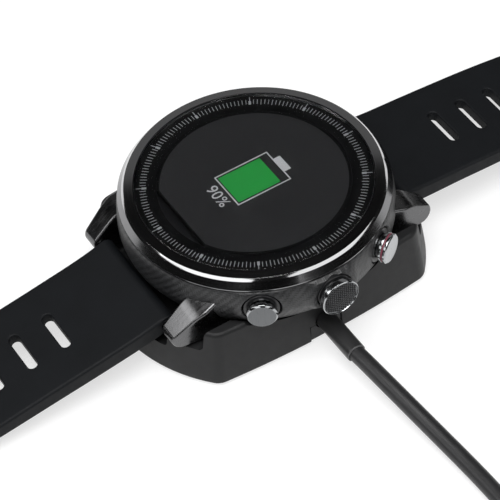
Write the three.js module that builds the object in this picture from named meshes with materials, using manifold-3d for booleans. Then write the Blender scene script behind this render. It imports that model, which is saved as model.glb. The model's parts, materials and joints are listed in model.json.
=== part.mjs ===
// A GPS running watch seated in its charging dock, straps laid out, with the dock's cable coiled beside it.
// Millimetres, +Z up. The origin is the middle of the dock's foot pad, on the table.
// +Y points to 12 o'clock and +X to 3 o'clock, where the buttons are.
import * as THREE from "three";
import { mergeVertices } from "three/addons/utils/BufferGeometryUtils.js";
import Module from "manifold-3d";

const wasm = await Module();
wasm.setup();

// ---------- driving dimensions ----------
const ROUND = 48; // facets of the watch's large rings
const SMALL_ROUND = 16; // facets of pins and buttons
const TINY_ROUND = 8; // facets of screws and contacts
const CLEAR = 0.3; // gap between pieces that rest on each other

const CASE_R = 23.9;
const CASE_TOP = 18.3;
const CASE_BOTTOM = 9.4;
const CASE_BORE_R = 20.6;
const FLANGE_R = 18.2;
const FLANGE_TOP = 10.6;
const BACK_R = 21.0;
const GLASS_R = 20.45;
const GLASS_TOP = 20.73;
const GLASS_BOTTOM = 19.93;
const DIAL_TOP = 19.84; // the display and the minute ring are level under the glass
const DISPLAY_R = 16.6;
const DISPLAY_FLAT_Y = -14.6;

const LUG_IN = 11.3; // half the space between two lugs
const LUG_OUT = 15.8;
const BAR_Y = 24.6; // spring bar
const BAR_Z = 9.6;
const BAR_R = 0.75;
const BAR_HOLE_R = 1.0;

const BUTTON_Z = 14.8;
// angle from 3 o'clock, face's distance from the axis, face radius, cap thickness, sleeve's radius and end
const BUTTONS = {
  upper: { angle: 30, face: 25.7, capR: 2.65, cap: 1.55, sleeveR: 3.1, sleeveEnd: 23.5 },
  middle: { angle: 0, face: 26.4, capR: 3.5, cap: 1.2, sleeveR: 3.2, sleeveEnd: 24.4 },
  lower: { angle: -30, face: 25.7, capR: 2.65, cap: 1.05, sleeveR: 3.1, sleeveEnd: 23.9 },
};

const STRAP_W = 21.3;
const STRAP_END_W = 20.4;
const SLOT_LONG = 8.1;
const SLOT_WIDE = 1.8;
// the strap's underside is hollowed to this width along the slots, leaving a web this thick
const HOLLOW_W = 12.6;
const WEB = 2;
// middle of the strap's thickness, as distance from the watch's axis and height, and the thickness there
const HOLE_STRAP = [
  [24.6, 9.6, 3.5], [29.5, 8.45, 3.4], [38.7, 6.95, 3.3], [46, 5.9, 3.2], [51, 5.15, 3.1], [56, 4.4, 3.0],
  [62, 3.55, 2.8], [72, 2.45, 2.7], [80, 1.8, 2.7], [88, 1.5, 2.7], [104, 1.5, 2.7], [127, 1.5, 2.5],
];
const BUCKLE_STRAP = [
  [24.6, 9.6, 3.5], [30, 9.2, 3.3], [35, 8.95, 3.2], [40, 8.62, 3.2], [50, 7.92, 3.0], [57, 7.2, 2.8],
  [64, 6.2, 2.7], [72, 4.95, 2.7], [80, 3.7, 2.7], [86, 2.76, 2.8], [90, 2.1, 3.5],
];
const HOLE_SLOTS = { first: 40, pitch: 6.34, count: 12 };
const BUCKLE_SLOTS = { first: 38.8, pitch: 6, count: 4 };
const PIN_Y = 90; // buckle pin
const PIN_Z = 2.1;
const TONGUE_W = 7.2;
const KEEPER_FREE_Y = 73;
const KEEPER_FIXED_Y = 81.5;
const KEEPER_LONG = 6;

const DOCK_R = 29; // the two rounded ends
const DOCK_SIDE_X = 21.3; // middle of the two slightly bowed sides
const DOCK_SIDE_R = 197;
const DOCK_CORNER_R = 3;
const DOCK_BASE = 0.5;
const DOCK_TOP = 11.65;
const DOCK_DRAFT = 0.05; // how much narrower the top is, as a share
const CHANNEL_HALF = 11.7; // strap channel through the dock's end walls
const CHANNEL_FLOOR = 5.8;
const LUG_NOTCH_HALF = 17.4;
const LUG_NOTCH_FLOOR = 7.6;
const CAVITY_TOP = 3.4;
const POGO_Y = -12.5;
const POGO_X = [-4.5, -1.5, 1.5, 4.5];
const PORT_Z = 4.4;
const COLLAR_TOP = 3.9; // tongue of the dock's lid that the cable's boot rests in

const CORD_R = 1.5;
// the cable's middle from its boot to the coil, lying down onto the table and drifting towards 12 o'clock
const CORD_ROUTE = [
  [30.7, 0.05, 4.39], [33, 0.26, 4.33], [37, 0.64, 4.05], [42, 1.23, 3.45], [47, 1.86, 2.75], [52, 2.45, 2.15],
  [57, 2.94, 1.75], [62, 3.25, 1.56], [67, 3.38, 1.5], [72, 3.4, 1.5], [77.6, 3.4, 1.55],
];
const COIL = { x: 90, y: -19.5, inner: 10.5, outer: 22.9, layers: 2, step: 3.1, lift: 0.5 };
const PLUG = { x: 112.9, z: 3.9, bodyY: -44.3, bodyLong: 18, shellLong: 12 };

// ---------- geometry helpers ----------
function toSolid(geometry) {
  const g = geometry.clone();
  for (const name of Object.keys(g.attributes)) if (name !== "position") g.deleteAttribute(name);
  const merged = mergeVertices(g, 1e-4);
  const vertProperties = new Float32Array(merged.attributes.position.array);
  const triVerts = new Uint32Array(merged.index.array);
  const solid = new wasm.Manifold(new wasm.Mesh({ numProp: 3, vertProperties, triVerts }));
  if (solid.volume() > 0) return solid;
  for (let i = 0; i < triVerts.length; i += 3) [triVerts[i], triVerts[i + 1]] = [triVerts[i + 1], triVerts[i]];
  return new wasm.Manifold(new wasm.Mesh({ numProp: 3, vertProperties, triVerts }));
}

function toGeometry(solid) {
  const mesh = solid.getMesh();
  const g = new THREE.BufferGeometry();
  g.setAttribute("position", new THREE.BufferAttribute(new Float32Array(mesh.vertProperties), 3));
  g.setIndex(new THREE.BufferAttribute(new Uint32Array(mesh.triVerts), 1));
  g.computeVertexNormals();
  return g;
}

// A profile of [radius, height] turned about the vertical axis.
function turned(profile, segments = ROUND) {
  const points = profile.map(([r, z]) => new THREE.Vector2(r, z));
  return toSolid(new THREE.LatheGeometry(points, segments).rotateX(Math.PI / 2));
}

function ring(inner, outer, z0, z1, segments = ROUND) {
  return turned([[inner, z0], [outer, z0], [outer, z1], [inner, z1], [inner, z0]], segments);
}

function disc(radius, z0, z1, segments = ROUND) {
  return turned([[0, z0], [radius, z0], [radius, z1], [0, z1]], segments);
}

function block(x0, x1, y0, y1, z0, z1) {
  const g = new THREE.BoxGeometry(x1 - x0, y1 - y0, z1 - z0);
  return toSolid(g.translate((x0 + x1) / 2, (y0 + y1) / 2, (z0 + z1) / 2));
}

function extruded(shape, z0, z1, curveSegments = 12) {
  const g = new THREE.ExtrudeGeometry(shape, { depth: z1 - z0, bevelEnabled: false, curveSegments });
  return toSolid(g.translate(0, 0, z0));
}

// A side outline of [y, z] points carried across from x0 to x1.
function acrossX(outline, x0, x1) {
  const shape = new THREE.Shape(outline.map(([y, z]) => new THREE.Vector2(y, z)));
  const g = new THREE.ExtrudeGeometry(shape, { depth: x1 - x0, bevelEnabled: false });
  const axes = new THREE.Matrix4().makeBasis(
    new THREE.Vector3(0, 1, 0), new THREE.Vector3(0, 0, 1), new THREE.Vector3(1, 0, 0));
  return toSolid(g.applyMatrix4(axes).translate(x0, 0, 0));
}

function rodX(radius, x0, x1, y, z, segments = SMALL_ROUND) {
  const g = new THREE.CylinderGeometry(radius, radius, x1 - x0, segments).rotateZ(Math.PI / 2);
  return toSolid(g.translate((x0 + x1) / 2, y, z));
}

// A solid made on the vertical axis, laid along +X at button height and turned to an angle.
function towardsRim(solid, angleDeg) {
  const g = toGeometry(solid).rotateY(Math.PI / 2).translate(0, 0, BUTTON_Z);
  return toSolid(g.rotateZ(THREE.MathUtils.degToRad(angleDeg)));
}

function roundedRect(w, h, r) {
  const shape = new THREE.Shape();
  const x = w / 2 - r;
  const y = h / 2 - r;
  shape.absarc(x, y, r, 0, Math.PI / 2);
  shape.absarc(-x, y, r, Math.PI / 2, Math.PI);
  shape.absarc(-x, -y, r, Math.PI, 1.5 * Math.PI);
  shape.absarc(x, -y, r, 1.5 * Math.PI, 2 * Math.PI);
  return shape;
}

// ---------- scene ----------
const watch = new THREE.Group();

const FINISH = {
  carbon: [0x2a2b2d, 0.5, 0.1],
  satinSteel: [0x6a6b6d, 0.35, 0.9],
  polished: [0x9fa1a3, 0.15, 1.0],
  glass: [0x101113, 0.05, 0.0],
  black: [0x141517, 0.5, 0.0],
  dock: [0x2b2c2e, 0.45, 0.0],
  silicone: [0x212225, 0.7, 0.0],
  board: [0x1d4a2c, 0.6, 0.0],
  gold: [0xc9a24a, 0.3, 1.0],
  foil: [0xb8babd, 0.4, 0.6],
  accent: [0xa8505c, 0.4, 0.4],
  cable: [0x232325, 0.5, 0.0],
};

function add(name, solid, finish) {
  const [color, roughness, metalness] = FINISH[finish];
  const mesh = new THREE.Mesh(toGeometry(solid), new THREE.MeshStandardMaterial({ color, roughness, metalness }));
  mesh.name = name;
  watch.add(mesh);
}

// ---------- glass, dial and bezel ----------
function addFront() {
  add("bezel_ring", turned([
    [19.6, 18.6], [23.45, 18.6], [23.45, 18.85], [22.6, 20.1], [22.2, 20.55], [20.75, 20.77], [20.6, 20.7],
    [20.6, 19.0], [19.6, 19.0], [19.6, 18.6],
  ]), "satinSteel");
  add("cover_glass", turned([
    [0, GLASS_BOTTOM], [GLASS_R, GLASS_BOTTOM], [GLASS_R, GLASS_TOP - 0.2], [GLASS_R - 0.2, GLASS_TOP],
    [0, GLASS_TOP],
  ]), "glass");
  add("glass_gasket", ring(19.7, GLASS_R, 19.06, 19.3), "black");
  add("minute_ring", ring(DISPLAY_R + 0.25, GLASS_R, 19.36, DIAL_TOP), "black");
  const cut = block(-20, 20, -20, DISPLAY_FLAT_Y, 18, 21);
  add("display_panel", disc(DISPLAY_R, 18.9, DIAL_TOP).subtract(cut), "black");
}

// ---------- inside the case ----------
function addInside() {
  add("inner_frame", turned([
    [0, 17.7], [18.5, 17.7], [18.5, 10.9], [19.3, 10.9], [19.3, 18.5], [0, 18.5],
  ]), "black");
  add("gps_antenna", ring(15.2, 18.2, 16.9, 17.5, 32), "gold");
  add("main_board", disc(18.2, 15.6, 16.6, 32), "board");
  const cell = toGeometry(extruded(roundedRect(27, 22, 3), 10.9, 15.3, 4)).translate(0, 2.5, 0);
  add("battery_cell", toSolid(cell), "foil");
  const motor = toGeometry(disc(4.2, 11, 13.8, SMALL_ROUND)).translate(0, -13.8, 0);
  add("vibration_motor", toSolid(motor), "foil");
  for (const [name, { angle }] of Object.entries(BUTTONS)) {
    const g = new THREE.BoxGeometry(0.8, 4, 2.6).translate(19.85, 0, BUTTON_Z);
    add(`${name}_switch`, toSolid(g.rotateZ(THREE.MathUtils.degToRad(angle))), "black");
  }
}

// ---------- case with its lugs ----------
const CASE_OUTSIDE = [
  [21.5, CASE_BOTTOM], [22.6, 10.4], [23.45, 11.9], [CASE_R, 13.6], [CASE_R, 15.6], [23.75, 17.2],
  [23.45, CASE_TOP],
];

function lug(sideX, sideY) {
  const tip = [];
  for (let a = 40; a >= -90; a -= 26) {
    const t = THREE.MathUtils.degToRad(a);
    tip.push([sideY * (24.2 + 1.85 * Math.cos(t)), 9.85 + 1.85 * Math.sin(t)]);
  }
  const outline = [[sideY * 13, 9.4], [sideY * 13, 14.9], [sideY * 19.4, 14.9], ...tip, [sideY * 18, 8.0]];
  const [x0, x1] = sideX > 0 ? [LUG_IN, LUG_OUT] : [-LUG_OUT, -LUG_IN];
  return acrossX(outline, x0, x1);
}

function addCase() {
  let body = turned([[15, CASE_BOTTOM], ...CASE_OUTSIDE, [15, CASE_TOP], [15, CASE_BOTTOM]]);
  for (const sx of [-1, 1]) for (const sy of [-1, 1]) body = body.add(lug(sx, sy));
  for (const { angle, sleeveR, sleeveEnd } of Object.values(BUTTONS)) {
    const boss = turned([[0, 20], [sleeveR + 0.9, 20], [sleeveR + 0.9, sleeveEnd - 0.5],
      [sleeveR + 0.4, sleeveEnd + 0.05], [0, sleeveEnd + 0.05]], SMALL_ROUND);
    body = body.add(towardsRim(boss, angle));
  }
  body = body.subtract(block(-30, 30, -30, 30, CASE_TOP, 30));
  body = body.subtract(disc(CASE_BORE_R, FLANGE_TOP, 30)).subtract(disc(FLANGE_R, 5, 15));
  body = body.subtract(disc(BACK_R + CLEAR, 5, CASE_BOTTOM));
  for (const { angle, sleeveR } of Object.values(BUTTONS)) {
    body = body.subtract(towardsRim(disc(sleeveR + 0.1, 19, 30, SMALL_ROUND), angle));
  }
  for (const sy of [-1, 1]) body = body.subtract(rodX(BAR_R + 0.2, -20, 20, sy * BAR_Y, BAR_Z));
  for (const [x, y] of screwPlaces()) {
    body = body.subtract(toSolid(toGeometry(disc(0.95, 8, 11, TINY_ROUND)).translate(x, y, 0)));
  }
  add("mid_case", body, "carbon");
}

function screwPlaces() {
  return [45, 135, 225, 315].map((a) => {
    const t = THREE.MathUtils.degToRad(a);
    return [19.9 * Math.cos(t), 19.9 * Math.sin(t)];
  });
}

// ---------- case back, sensor and charging contacts ----------
const BACK_OUTSIDE = [[6.5, 5.9], [9, 5.85], [15, 6.4], [19.5, 7.8], [BACK_R, 8.7], [BACK_R, 9.05]];

function addBack() {
  let back = turned([...BACK_OUTSIDE, [17.6, 9.05], [17.6, 8.4], [14, 7.6], [6.5, 7.1], [6.5, 5.9]]);
  screwPlaces().forEach(([x, y], i) => {
    const bore = turned([[0, 7], [1.45, 7], [1.45, 8.65], [0.95, 8.65], [0.95, 9.5], [0, 9.5]], TINY_ROUND);
    back = back.subtract(toSolid(toGeometry(bore).translate(x, y, 0)));
    const screw = turned([[0, 7.95], [1.2, 7.95], [1.2, 8.55], [0.7, 8.55], [0.7, 10.3], [0, 10.3]], TINY_ROUND);
    add(`case_screw_${i + 1}`, toSolid(toGeometry(screw).translate(x, y, 0)), "polished");
  });
  POGO_X.forEach((x, i) => {
    back = back.subtract(toSolid(toGeometry(disc(1.1, 5, 9, TINY_ROUND)).translate(x, POGO_Y, 0)));
    const pad = toGeometry(disc(0.95, 6.3, 8.0, TINY_ROUND)).translate(x, POGO_Y, 0);
    add(`charging_contact_${i + 1}`, toSolid(pad), "gold");
  });
  add("case_back", back, "black");
  add("back_gasket", ring(18.3, 18.9, 9.12, 9.34), "black");
  add("sensor_window", turned([
    [0, 5.0], [3, 5.1], [5.4, 5.5], [6.2, 5.95], [6.2, 6.9], [0, 6.9],
  ], 24), "glass");
  add("sensor_board", disc(7.5, 7.45, 8.2, 20), "board");
}

// ---------- buttons ----------
function addButtons() {
  for (const [name, b] of Object.entries(BUTTONS)) {
    const neckR = b.sleeveR - 1.1;
    const capBack = b.face - b.cap;
    const sleeve = ring(neckR + 0.15, b.sleeveR, 20.9, b.sleeveEnd, SMALL_ROUND);
    add(`${name}_button_sleeve`, towardsRim(sleeve, b.angle), "black");
    let button = turned([
      [0, 21.1], [neckR, 21.1], [neckR, capBack], [b.capR - 0.1, capBack], [b.capR, capBack + 0.15],
      [b.capR, b.face - 0.2], [b.capR - 0.2, b.face], [0, b.face],
    ], SMALL_ROUND);
    if (name === "upper") {
      button = button.subtract(ring(2.15, 4, 24.72, 25.08, SMALL_ROUND));
      add("upper_button_accent", towardsRim(ring(2.25, 2.62, 24.77, 25.03, SMALL_ROUND), b.angle), "accent");
    }
    add(`${name}_button`, towardsRim(button, b.angle), "polished");
  }
}

// A strap's thickness at a distance from the watch's axis.
function thicknessAt(line, y) {
  const k = Math.max(line.findIndex((q) => q[0] >= y - 1e-6), 1);
  const [a, b] = [line[k - 1], line[k]];
  return THREE.MathUtils.lerp(a[2], b[2], THREE.MathUtils.clamp((y - a[0]) / (b[0] - a[0]), 0, 1));
}

// ---------- straps ----------
// A flat band with softly rounded edges along the hand-picked middle line, on the side of 12 (+1) or 6 (-1).
function band(line, side, steps, startW = STRAP_W, endW = STRAP_END_W) {
  const curve = new THREE.CatmullRomCurve3(line.map(([y, z]) => new THREE.Vector3(0, side * y, z)), false,
    "centripetal");
  const far = line[line.length - 1][0];
  const near = line[0][0];
  const positions = [];
  const section = [[-1, -0.6], [-0.96, -1], [0.96, -1], [1, -0.6], [1, 0.6], [0.96, 1], [-0.96, 1], [-1, 0.6]];
  for (let i = 0; i <= steps; i++) {
    const p = curve.getPointAt(i / steps);
    const t = curve.getTangentAt(i / steps);
    const y = Math.abs(p.y);
    const thick = thicknessAt(line, y);
    const wide = THREE.MathUtils.lerp(startW, endW, (y - near) / (far - near));
    const up = new THREE.Vector3(0, -t.z * side, t.y * side);
    for (const [u, v] of section) {
      positions.push(u * wide / 2, p.y + up.y * v * thick / 2, p.z + up.z * v * thick / 2);
    }
  }
  const n = section.length;
  const index = [];
  for (let i = 0; i < steps; i++) {
    for (let j = 0; j < n; j++) {
      const a = i * n + j;
      const b = i * n + (j + 1) % n;
      index.push(a, b, a + n, b, b + n, a + n);
    }
  }
  for (let j = 1; j < n - 1; j++) {
    index.push(0, j + 1, j);
    index.push(steps * n, steps * n + j, steps * n + j + 1);
  }
  const g = new THREE.BufferGeometry();
  g.setAttribute("position", new THREE.Float32BufferAttribute(positions, 3));
  g.setIndex(index);
  return { solid: toSolid(g), curve };
}

// The point on a strap's middle line at a distance from the watch's axis, and its slope there.
function onStrap(curve, y) {
  let [lo, hi] = [0, 1];
  for (let i = 0; i < 40; i++) {
    const mid = (lo + hi) / 2;
    if (Math.abs(curve.getPoint(mid).y) < y) lo = mid;
    else hi = mid;
  }
  const p = curve.getPoint(lo);
  const t = curve.getTangent(lo);
  return { p, tilt: Math.atan2(t.z, t.y * Math.sign(p.y)) * Math.sign(p.y) };
}

// The hollow along a strap's underside between two distances, as a solid to cut away.
function hollow(line, curve, side, from, to) {
  const points = [];
  for (let i = 0; i <= 8; i++) {
    const y = from + (to - from) * i / 8;
    const thick = thicknessAt(line, y);
    points.push([y, onStrap(curve, y).p.z - thick / 2, 2 * (thick - WEB)]);
  }
  return band(points, side, 16, HOLLOW_W, HOLLOW_W).solid;
}

function cutSlots(strap, curve, { first, pitch, count }) {
  let out = strap;
  for (let i = 0; i < count; i++) {
    const { p, tilt } = onStrap(curve, first + i * pitch);
    const g = toGeometry(extruded(roundedRect(SLOT_LONG, SLOT_WIDE, SLOT_WIDE / 2 - 0.01), -4, 4, 2));
    out = out.subtract(toSolid(g.rotateX(tilt).translate(0, p.y, p.z)));
  }
  return out;
}

function strapEye(solid, y, z, radius, half) {
  return solid.add(rodX(radius, -half, half, y, z)).subtract(rodX(BAR_HOLE_R, -20, 20, y, z));
}

function keeper(curve, y) {
  const { p, tilt } = onStrap(curve, y);
  const shape = roundedRect(24.4, 8.3, 1.6);
  shape.holes.push(roundedRect(21.8, 5.9, 0.8));
  const g = new THREE.ExtrudeGeometry(shape, { depth: KEEPER_LONG, bevelEnabled: false, curveSegments: 2 });
  g.rotateX(Math.PI / 2).translate(0, KEEPER_LONG / 2, 1.25).rotateX(tilt);
  return toSolid(g.translate(p.x, p.y, p.z));
}

function addStraps() {
  const six = band(HOLE_STRAP, -1, 22);
  let holeSide = strapEye(six.solid, -BAR_Y, BAR_Z, 1.75, STRAP_W / 2);
  const tip = new THREE.Shape().absarc(0, 0, 12, 0, Math.PI);
  tip.lineTo(-12, -60);
  tip.lineTo(12, -60);
  const g = toGeometry(extruded(tip, -5, 5, 5)).scale(0.86, -0.86, 1).translate(0, -117, 0);
  const tipKeep = toSolid(g).add(block(-14, 14, -100, 0, -5, 20));
  holeSide = holeSide.intersect(tipKeep).subtract(hollow(HOLE_STRAP, six.curve, -1, 33, 117));
  holeSide = cutSlots(holeSide, six.curve, HOLE_SLOTS);
  add("strap_hole_side", holeSide, "silicone");

  const twelve = band(BUCKLE_STRAP, 1, 18);
  let buckleSide = strapEye(twelve.solid, BAR_Y, BAR_Z, 1.75, STRAP_W / 2);
  buckleSide = strapEye(buckleSide, PIN_Y, PIN_Z, 1.8, STRAP_END_W / 2);
  buckleSide = buckleSide.subtract(block(-TONGUE_W / 2 - 0.4, TONGUE_W / 2 + 0.4, 87.2, 95, -5, 10));
  buckleSide = buckleSide.subtract(hollow(BUCKLE_STRAP, twelve.curve, 1, 34, 63));
  add("strap_buckle_side", cutSlots(buckleSide, twelve.curve, BUCKLE_SLOTS), "silicone");
  add("keeper_free", keeper(twelve.curve, KEEPER_FREE_Y), "silicone");
  add("keeper_fixed", keeper(twelve.curve, KEEPER_FIXED_Y), "silicone");
}

// ---------- buckle and spring bars ----------
function addBuckle() {
  const side = [[87.7, 1.2], [88.2, 0.8], [104.5, 0.15], [106.3, 0.6], [106.3, 2.3], [104.5, 2.75], [91, 3.5],
    [88.6, 3.3], [87.7, 2.6]];
  const plan = new THREE.Shape();
  plan.moveTo(-13.4, 87);
  plan.lineTo(13.4, 87);
  plan.absarc(10.4, 103.4, 3, 0, Math.PI / 2);
  plan.absarc(-10.4, 103.4, 3, Math.PI / 2, Math.PI);
  let frame = acrossX(side, -14, 14).intersect(extruded(plan, -1, 5, 5));
  frame = frame.subtract(block(-11.1, 11.1, 80, 102.6, -1, 6));
  frame = frame.subtract(rodX(BAR_R + 0.15, -20, 20, PIN_Y, PIN_Z));
  add("buckle_frame", frame, "polished");
  const blade = [[90, 0.9], [92, 1.3], [97, 1.9], [101.5, 3.0], [105.6, 3.05], [105.6, 3.7], [101, 4.1],
    [96, 3.4], [91, 3.3], [90, 3.3]];
  const knuckle = rodX(1.5, -TONGUE_W / 2, TONGUE_W / 2, PIN_Y, PIN_Z);
  let tongue = acrossX(blade, -TONGUE_W / 2, TONGUE_W / 2).add(knuckle);
  tongue = tongue.subtract(rodX(BAR_R + 0.15, -20, 20, PIN_Y, PIN_Z));
  add("buckle_tongue", tongue, "polished");
  add("buckle_pin", rodX(BAR_R, -13.2, 13.2, PIN_Y, PIN_Z), "polished");
  add("spring_bar_6", rodX(BAR_R, -13.4, 13.4, -BAR_Y, BAR_Z), "polished");
  add("spring_bar_12", rodX(BAR_R, -13.4, 13.4, BAR_Y, BAR_Z), "polished");
}

// ---------- charging dock ----------
// The dock's plan: two ends on one circle, two bowed sides, rounded corners, all moved in by an inset.
function dockPlan(inset) {
  const sideCentre = DOCK_SIDE_R - DOCK_SIDE_X;
  const toEnd = DOCK_R - DOCK_CORNER_R;
  const toSide = DOCK_SIDE_R - DOCK_CORNER_R;
  const x = (toSide ** 2 - toEnd ** 2 - sideCentre ** 2) / (2 * sideCentre);
  const y = Math.sqrt(toEnd ** 2 - x ** 2);
  const low = Math.atan2(y, x + sideCentre);
  const high = Math.atan2(y, x);
  const r = DOCK_CORNER_R - inset;
  const plan = new THREE.Shape();
  plan.absarc(-sideCentre, 0, DOCK_SIDE_R - inset, -low, low);
  plan.absarc(x, y, r, low, high);
  plan.absarc(0, 0, DOCK_R - inset, high, Math.PI - high);
  plan.absarc(-x, y, r, Math.PI - high, Math.PI - low);
  plan.absarc(sideCentre, 0, DOCK_SIDE_R - inset, Math.PI - low, Math.PI + low);
  plan.absarc(-x, -y, r, Math.PI + low, Math.PI + high);
  plan.absarc(0, 0, DOCK_R - inset, Math.PI + high, 2 * Math.PI - high);
  plan.absarc(x, -y, r, 2 * Math.PI - high, 2 * Math.PI - low);
  return plan;
}

function drafted(solid) {
  const g = toGeometry(solid);
  const p = g.attributes.position;
  for (let i = 0; i < p.count; i++) {
    const k = 1 - DOCK_DRAFT * p.getZ(i) / DOCK_TOP;
    p.setXY(i, p.getX(i) * k, p.getY(i) * k);
  }
  return toSolid(g);
}

function addDock() {
  let shell = drafted(extruded(dockPlan(0), DOCK_BASE, DOCK_TOP, 6));
  const seat = [...BACK_OUTSIDE.slice(0, -2), ...CASE_OUTSIDE.slice(0, 3)].map(([r, z]) => [r + 0.35, z - 0.35]);
  shell = shell.subtract(turned([[0, 4.65], [6.3, 4.65], ...seat, [24.35, 13], [0, 13]]));
  shell = shell.subtract(block(-CHANNEL_HALF, CHANNEL_HALF, -35, -17, CHANNEL_FLOOR, 15));
  shell = shell.subtract(block(-CHANNEL_HALF, CHANNEL_HALF, 17, 35, CHANNEL_FLOOR, 15));
  shell = shell.subtract(block(-LUG_NOTCH_HALF, LUG_NOTCH_HALF, -35, -13.5, LUG_NOTCH_FLOOR, 15));
  shell = shell.subtract(block(-LUG_NOTCH_HALF, LUG_NOTCH_HALF, 13.5, 35, LUG_NOTCH_FLOOR, 15));
  shell = shell.subtract(extruded(dockPlan(2.4), 0, CAVITY_TOP, 5));
  shell = shell.subtract(block(17, 25, -3.3, 3.3, 0, COLLAR_TOP + CLEAR));
  shell = shell.subtract(rodX(2.05, 17, 25, 0, PORT_Z, 24));
  for (const { angle, sleeveR } of Object.values(BUTTONS)) {
    shell = shell.subtract(towardsRim(disc(sleeveR + 1.3, 19, 27, SMALL_ROUND), angle));
  }
  for (const x of POGO_X) {
    shell = shell.subtract(toSolid(toGeometry(disc(1.05, 2, 8, TINY_ROUND)).translate(x, POGO_Y, 0)));
  }
  add("dock_shell", shell, "dock");

  const plate = extruded(dockPlan(2.8), DOCK_BASE, 1.7, 5).subtract(disc(12.3, 0, 1.1, 32));
  add("dock_base_plate", plate.subtract(block(16.5, 25, -3.6, 3.6, 0, 3)), "dock");
  add("dock_foot_pad", disc(12, 0, 0.85, 32), "silicone");
  add("dock_board", block(-12, 12, -17, -3, 2.0, 3.0), "board");
  POGO_X.forEach((x, i) => {
    const pin = turned([[0, 3.8], [0.8, 3.8], [0.8, 5.5], [0.55, 6.0], [0, 6.0]], TINY_ROUND);
    add(`pogo_pin_${i + 1}`, toSolid(toGeometry(pin).translate(x, POGO_Y, 0)), "gold");
  });
  const collar = block(17.3, 20.85, -3.05, 3.05, DOCK_BASE, COLLAR_TOP);
  add("dock_cable_collar", collar.subtract(rodX(2.05, 18.3, 25, 0, PORT_Z, 24)), "dock");
}

// ---------- cable ----------
// One piece of cable: an eight-sided tube along a smooth line through the points.
function cable(points, steps) {
  const path = new THREE.CatmullRomCurve3(points.map((p) => new THREE.Vector3(...p)), false, "centripetal");
  const section = new THREE.Shape();
  for (let i = 0; i < 8; i++) {
    const t = (i + 0.5) * Math.PI / 4;
    const p = [CORD_R * Math.cos(t), CORD_R * Math.sin(t)];
    if (i) section.lineTo(...p);
    else section.moveTo(...p);
  }
  return toSolid(new THREE.ExtrudeGeometry(section, { steps, extrudePath: path, bevelEnabled: false }));
}

function addCable() {
  add("cable_boot", rodX(1.75, 18.6, 30.4, 0, PORT_Z, 24), "black");
  add("cord_lead", cable(CORD_ROUTE, 12), "cable");
  const top = COIL.lift + COIL.layers * COIL.step + 0.1;
  const pack = ring(COIL.inner - 1.6, COIL.outer + 1.6, 0, top, 40);
  add("cord_coil", toSolid(toGeometry(pack).translate(COIL.x, COIL.y, 0)), "cable");
  const tail = [[PLUG.x, -32.2, 4.85], [PLUG.x, -36, 4.3], [PLUG.x, -40, 3.95], [PLUG.x, -44, PLUG.z]];
  add("cord_tail", cable(tail, 4), "cable");
  const body = toGeometry(extruded(roundedRect(12.4, 7.6, 2), 0, PLUG.bodyLong, 4)).rotateX(Math.PI / 2);
  add("usb_plug_body", toSolid(body.translate(PLUG.x, PLUG.bodyY, PLUG.z)), "black");
  const shellY = PLUG.bodyY - PLUG.bodyLong - CLEAR;
  const shell = block(-6, 6, shellY - PLUG.shellLong, shellY, PLUG.z - 2.25, PLUG.z + 2.25);
  const mouth = block(-5.6, 5.6, shellY - 15, shellY - 1, PLUG.z - 0.1, PLUG.z + 1.85);
  add("usb_plug_shell", toSolid(toGeometry(shell.subtract(mouth)).translate(PLUG.x, 0, 0)), "polished");
}

addFront();
addInside();
addCase();
addBack();
addButtons();
addStraps();
addBuckle();
addDock();
addCable();

export default watch;
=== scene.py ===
"""A GPS running watch seated in its charging dock, straps open, cable coiled beside it.

Looks only: every piece stands in the CAD frame (metres, +Z up, +Y to 12 o'clock, +X to the buttons).
Shapes are written in millimetres and scaled by MM.
"""
import json
import math

import bmesh
import bpy
from mathutils import Matrix, Vector


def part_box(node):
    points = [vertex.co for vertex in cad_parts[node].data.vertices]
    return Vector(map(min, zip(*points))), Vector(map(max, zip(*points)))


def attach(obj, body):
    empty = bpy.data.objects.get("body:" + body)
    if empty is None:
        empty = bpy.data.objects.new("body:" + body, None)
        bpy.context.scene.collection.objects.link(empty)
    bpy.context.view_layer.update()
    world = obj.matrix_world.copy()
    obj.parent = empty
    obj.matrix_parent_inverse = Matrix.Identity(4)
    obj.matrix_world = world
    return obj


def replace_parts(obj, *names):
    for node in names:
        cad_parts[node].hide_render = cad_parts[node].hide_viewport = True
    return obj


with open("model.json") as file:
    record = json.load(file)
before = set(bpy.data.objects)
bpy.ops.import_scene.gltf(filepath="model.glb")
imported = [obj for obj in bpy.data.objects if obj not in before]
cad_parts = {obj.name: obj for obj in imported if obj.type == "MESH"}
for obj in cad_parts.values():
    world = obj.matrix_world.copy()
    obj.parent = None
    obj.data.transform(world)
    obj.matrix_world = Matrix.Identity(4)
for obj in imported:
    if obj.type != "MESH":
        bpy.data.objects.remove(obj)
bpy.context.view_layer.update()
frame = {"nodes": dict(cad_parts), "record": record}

MM = 0.001
PI = math.pi

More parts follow.
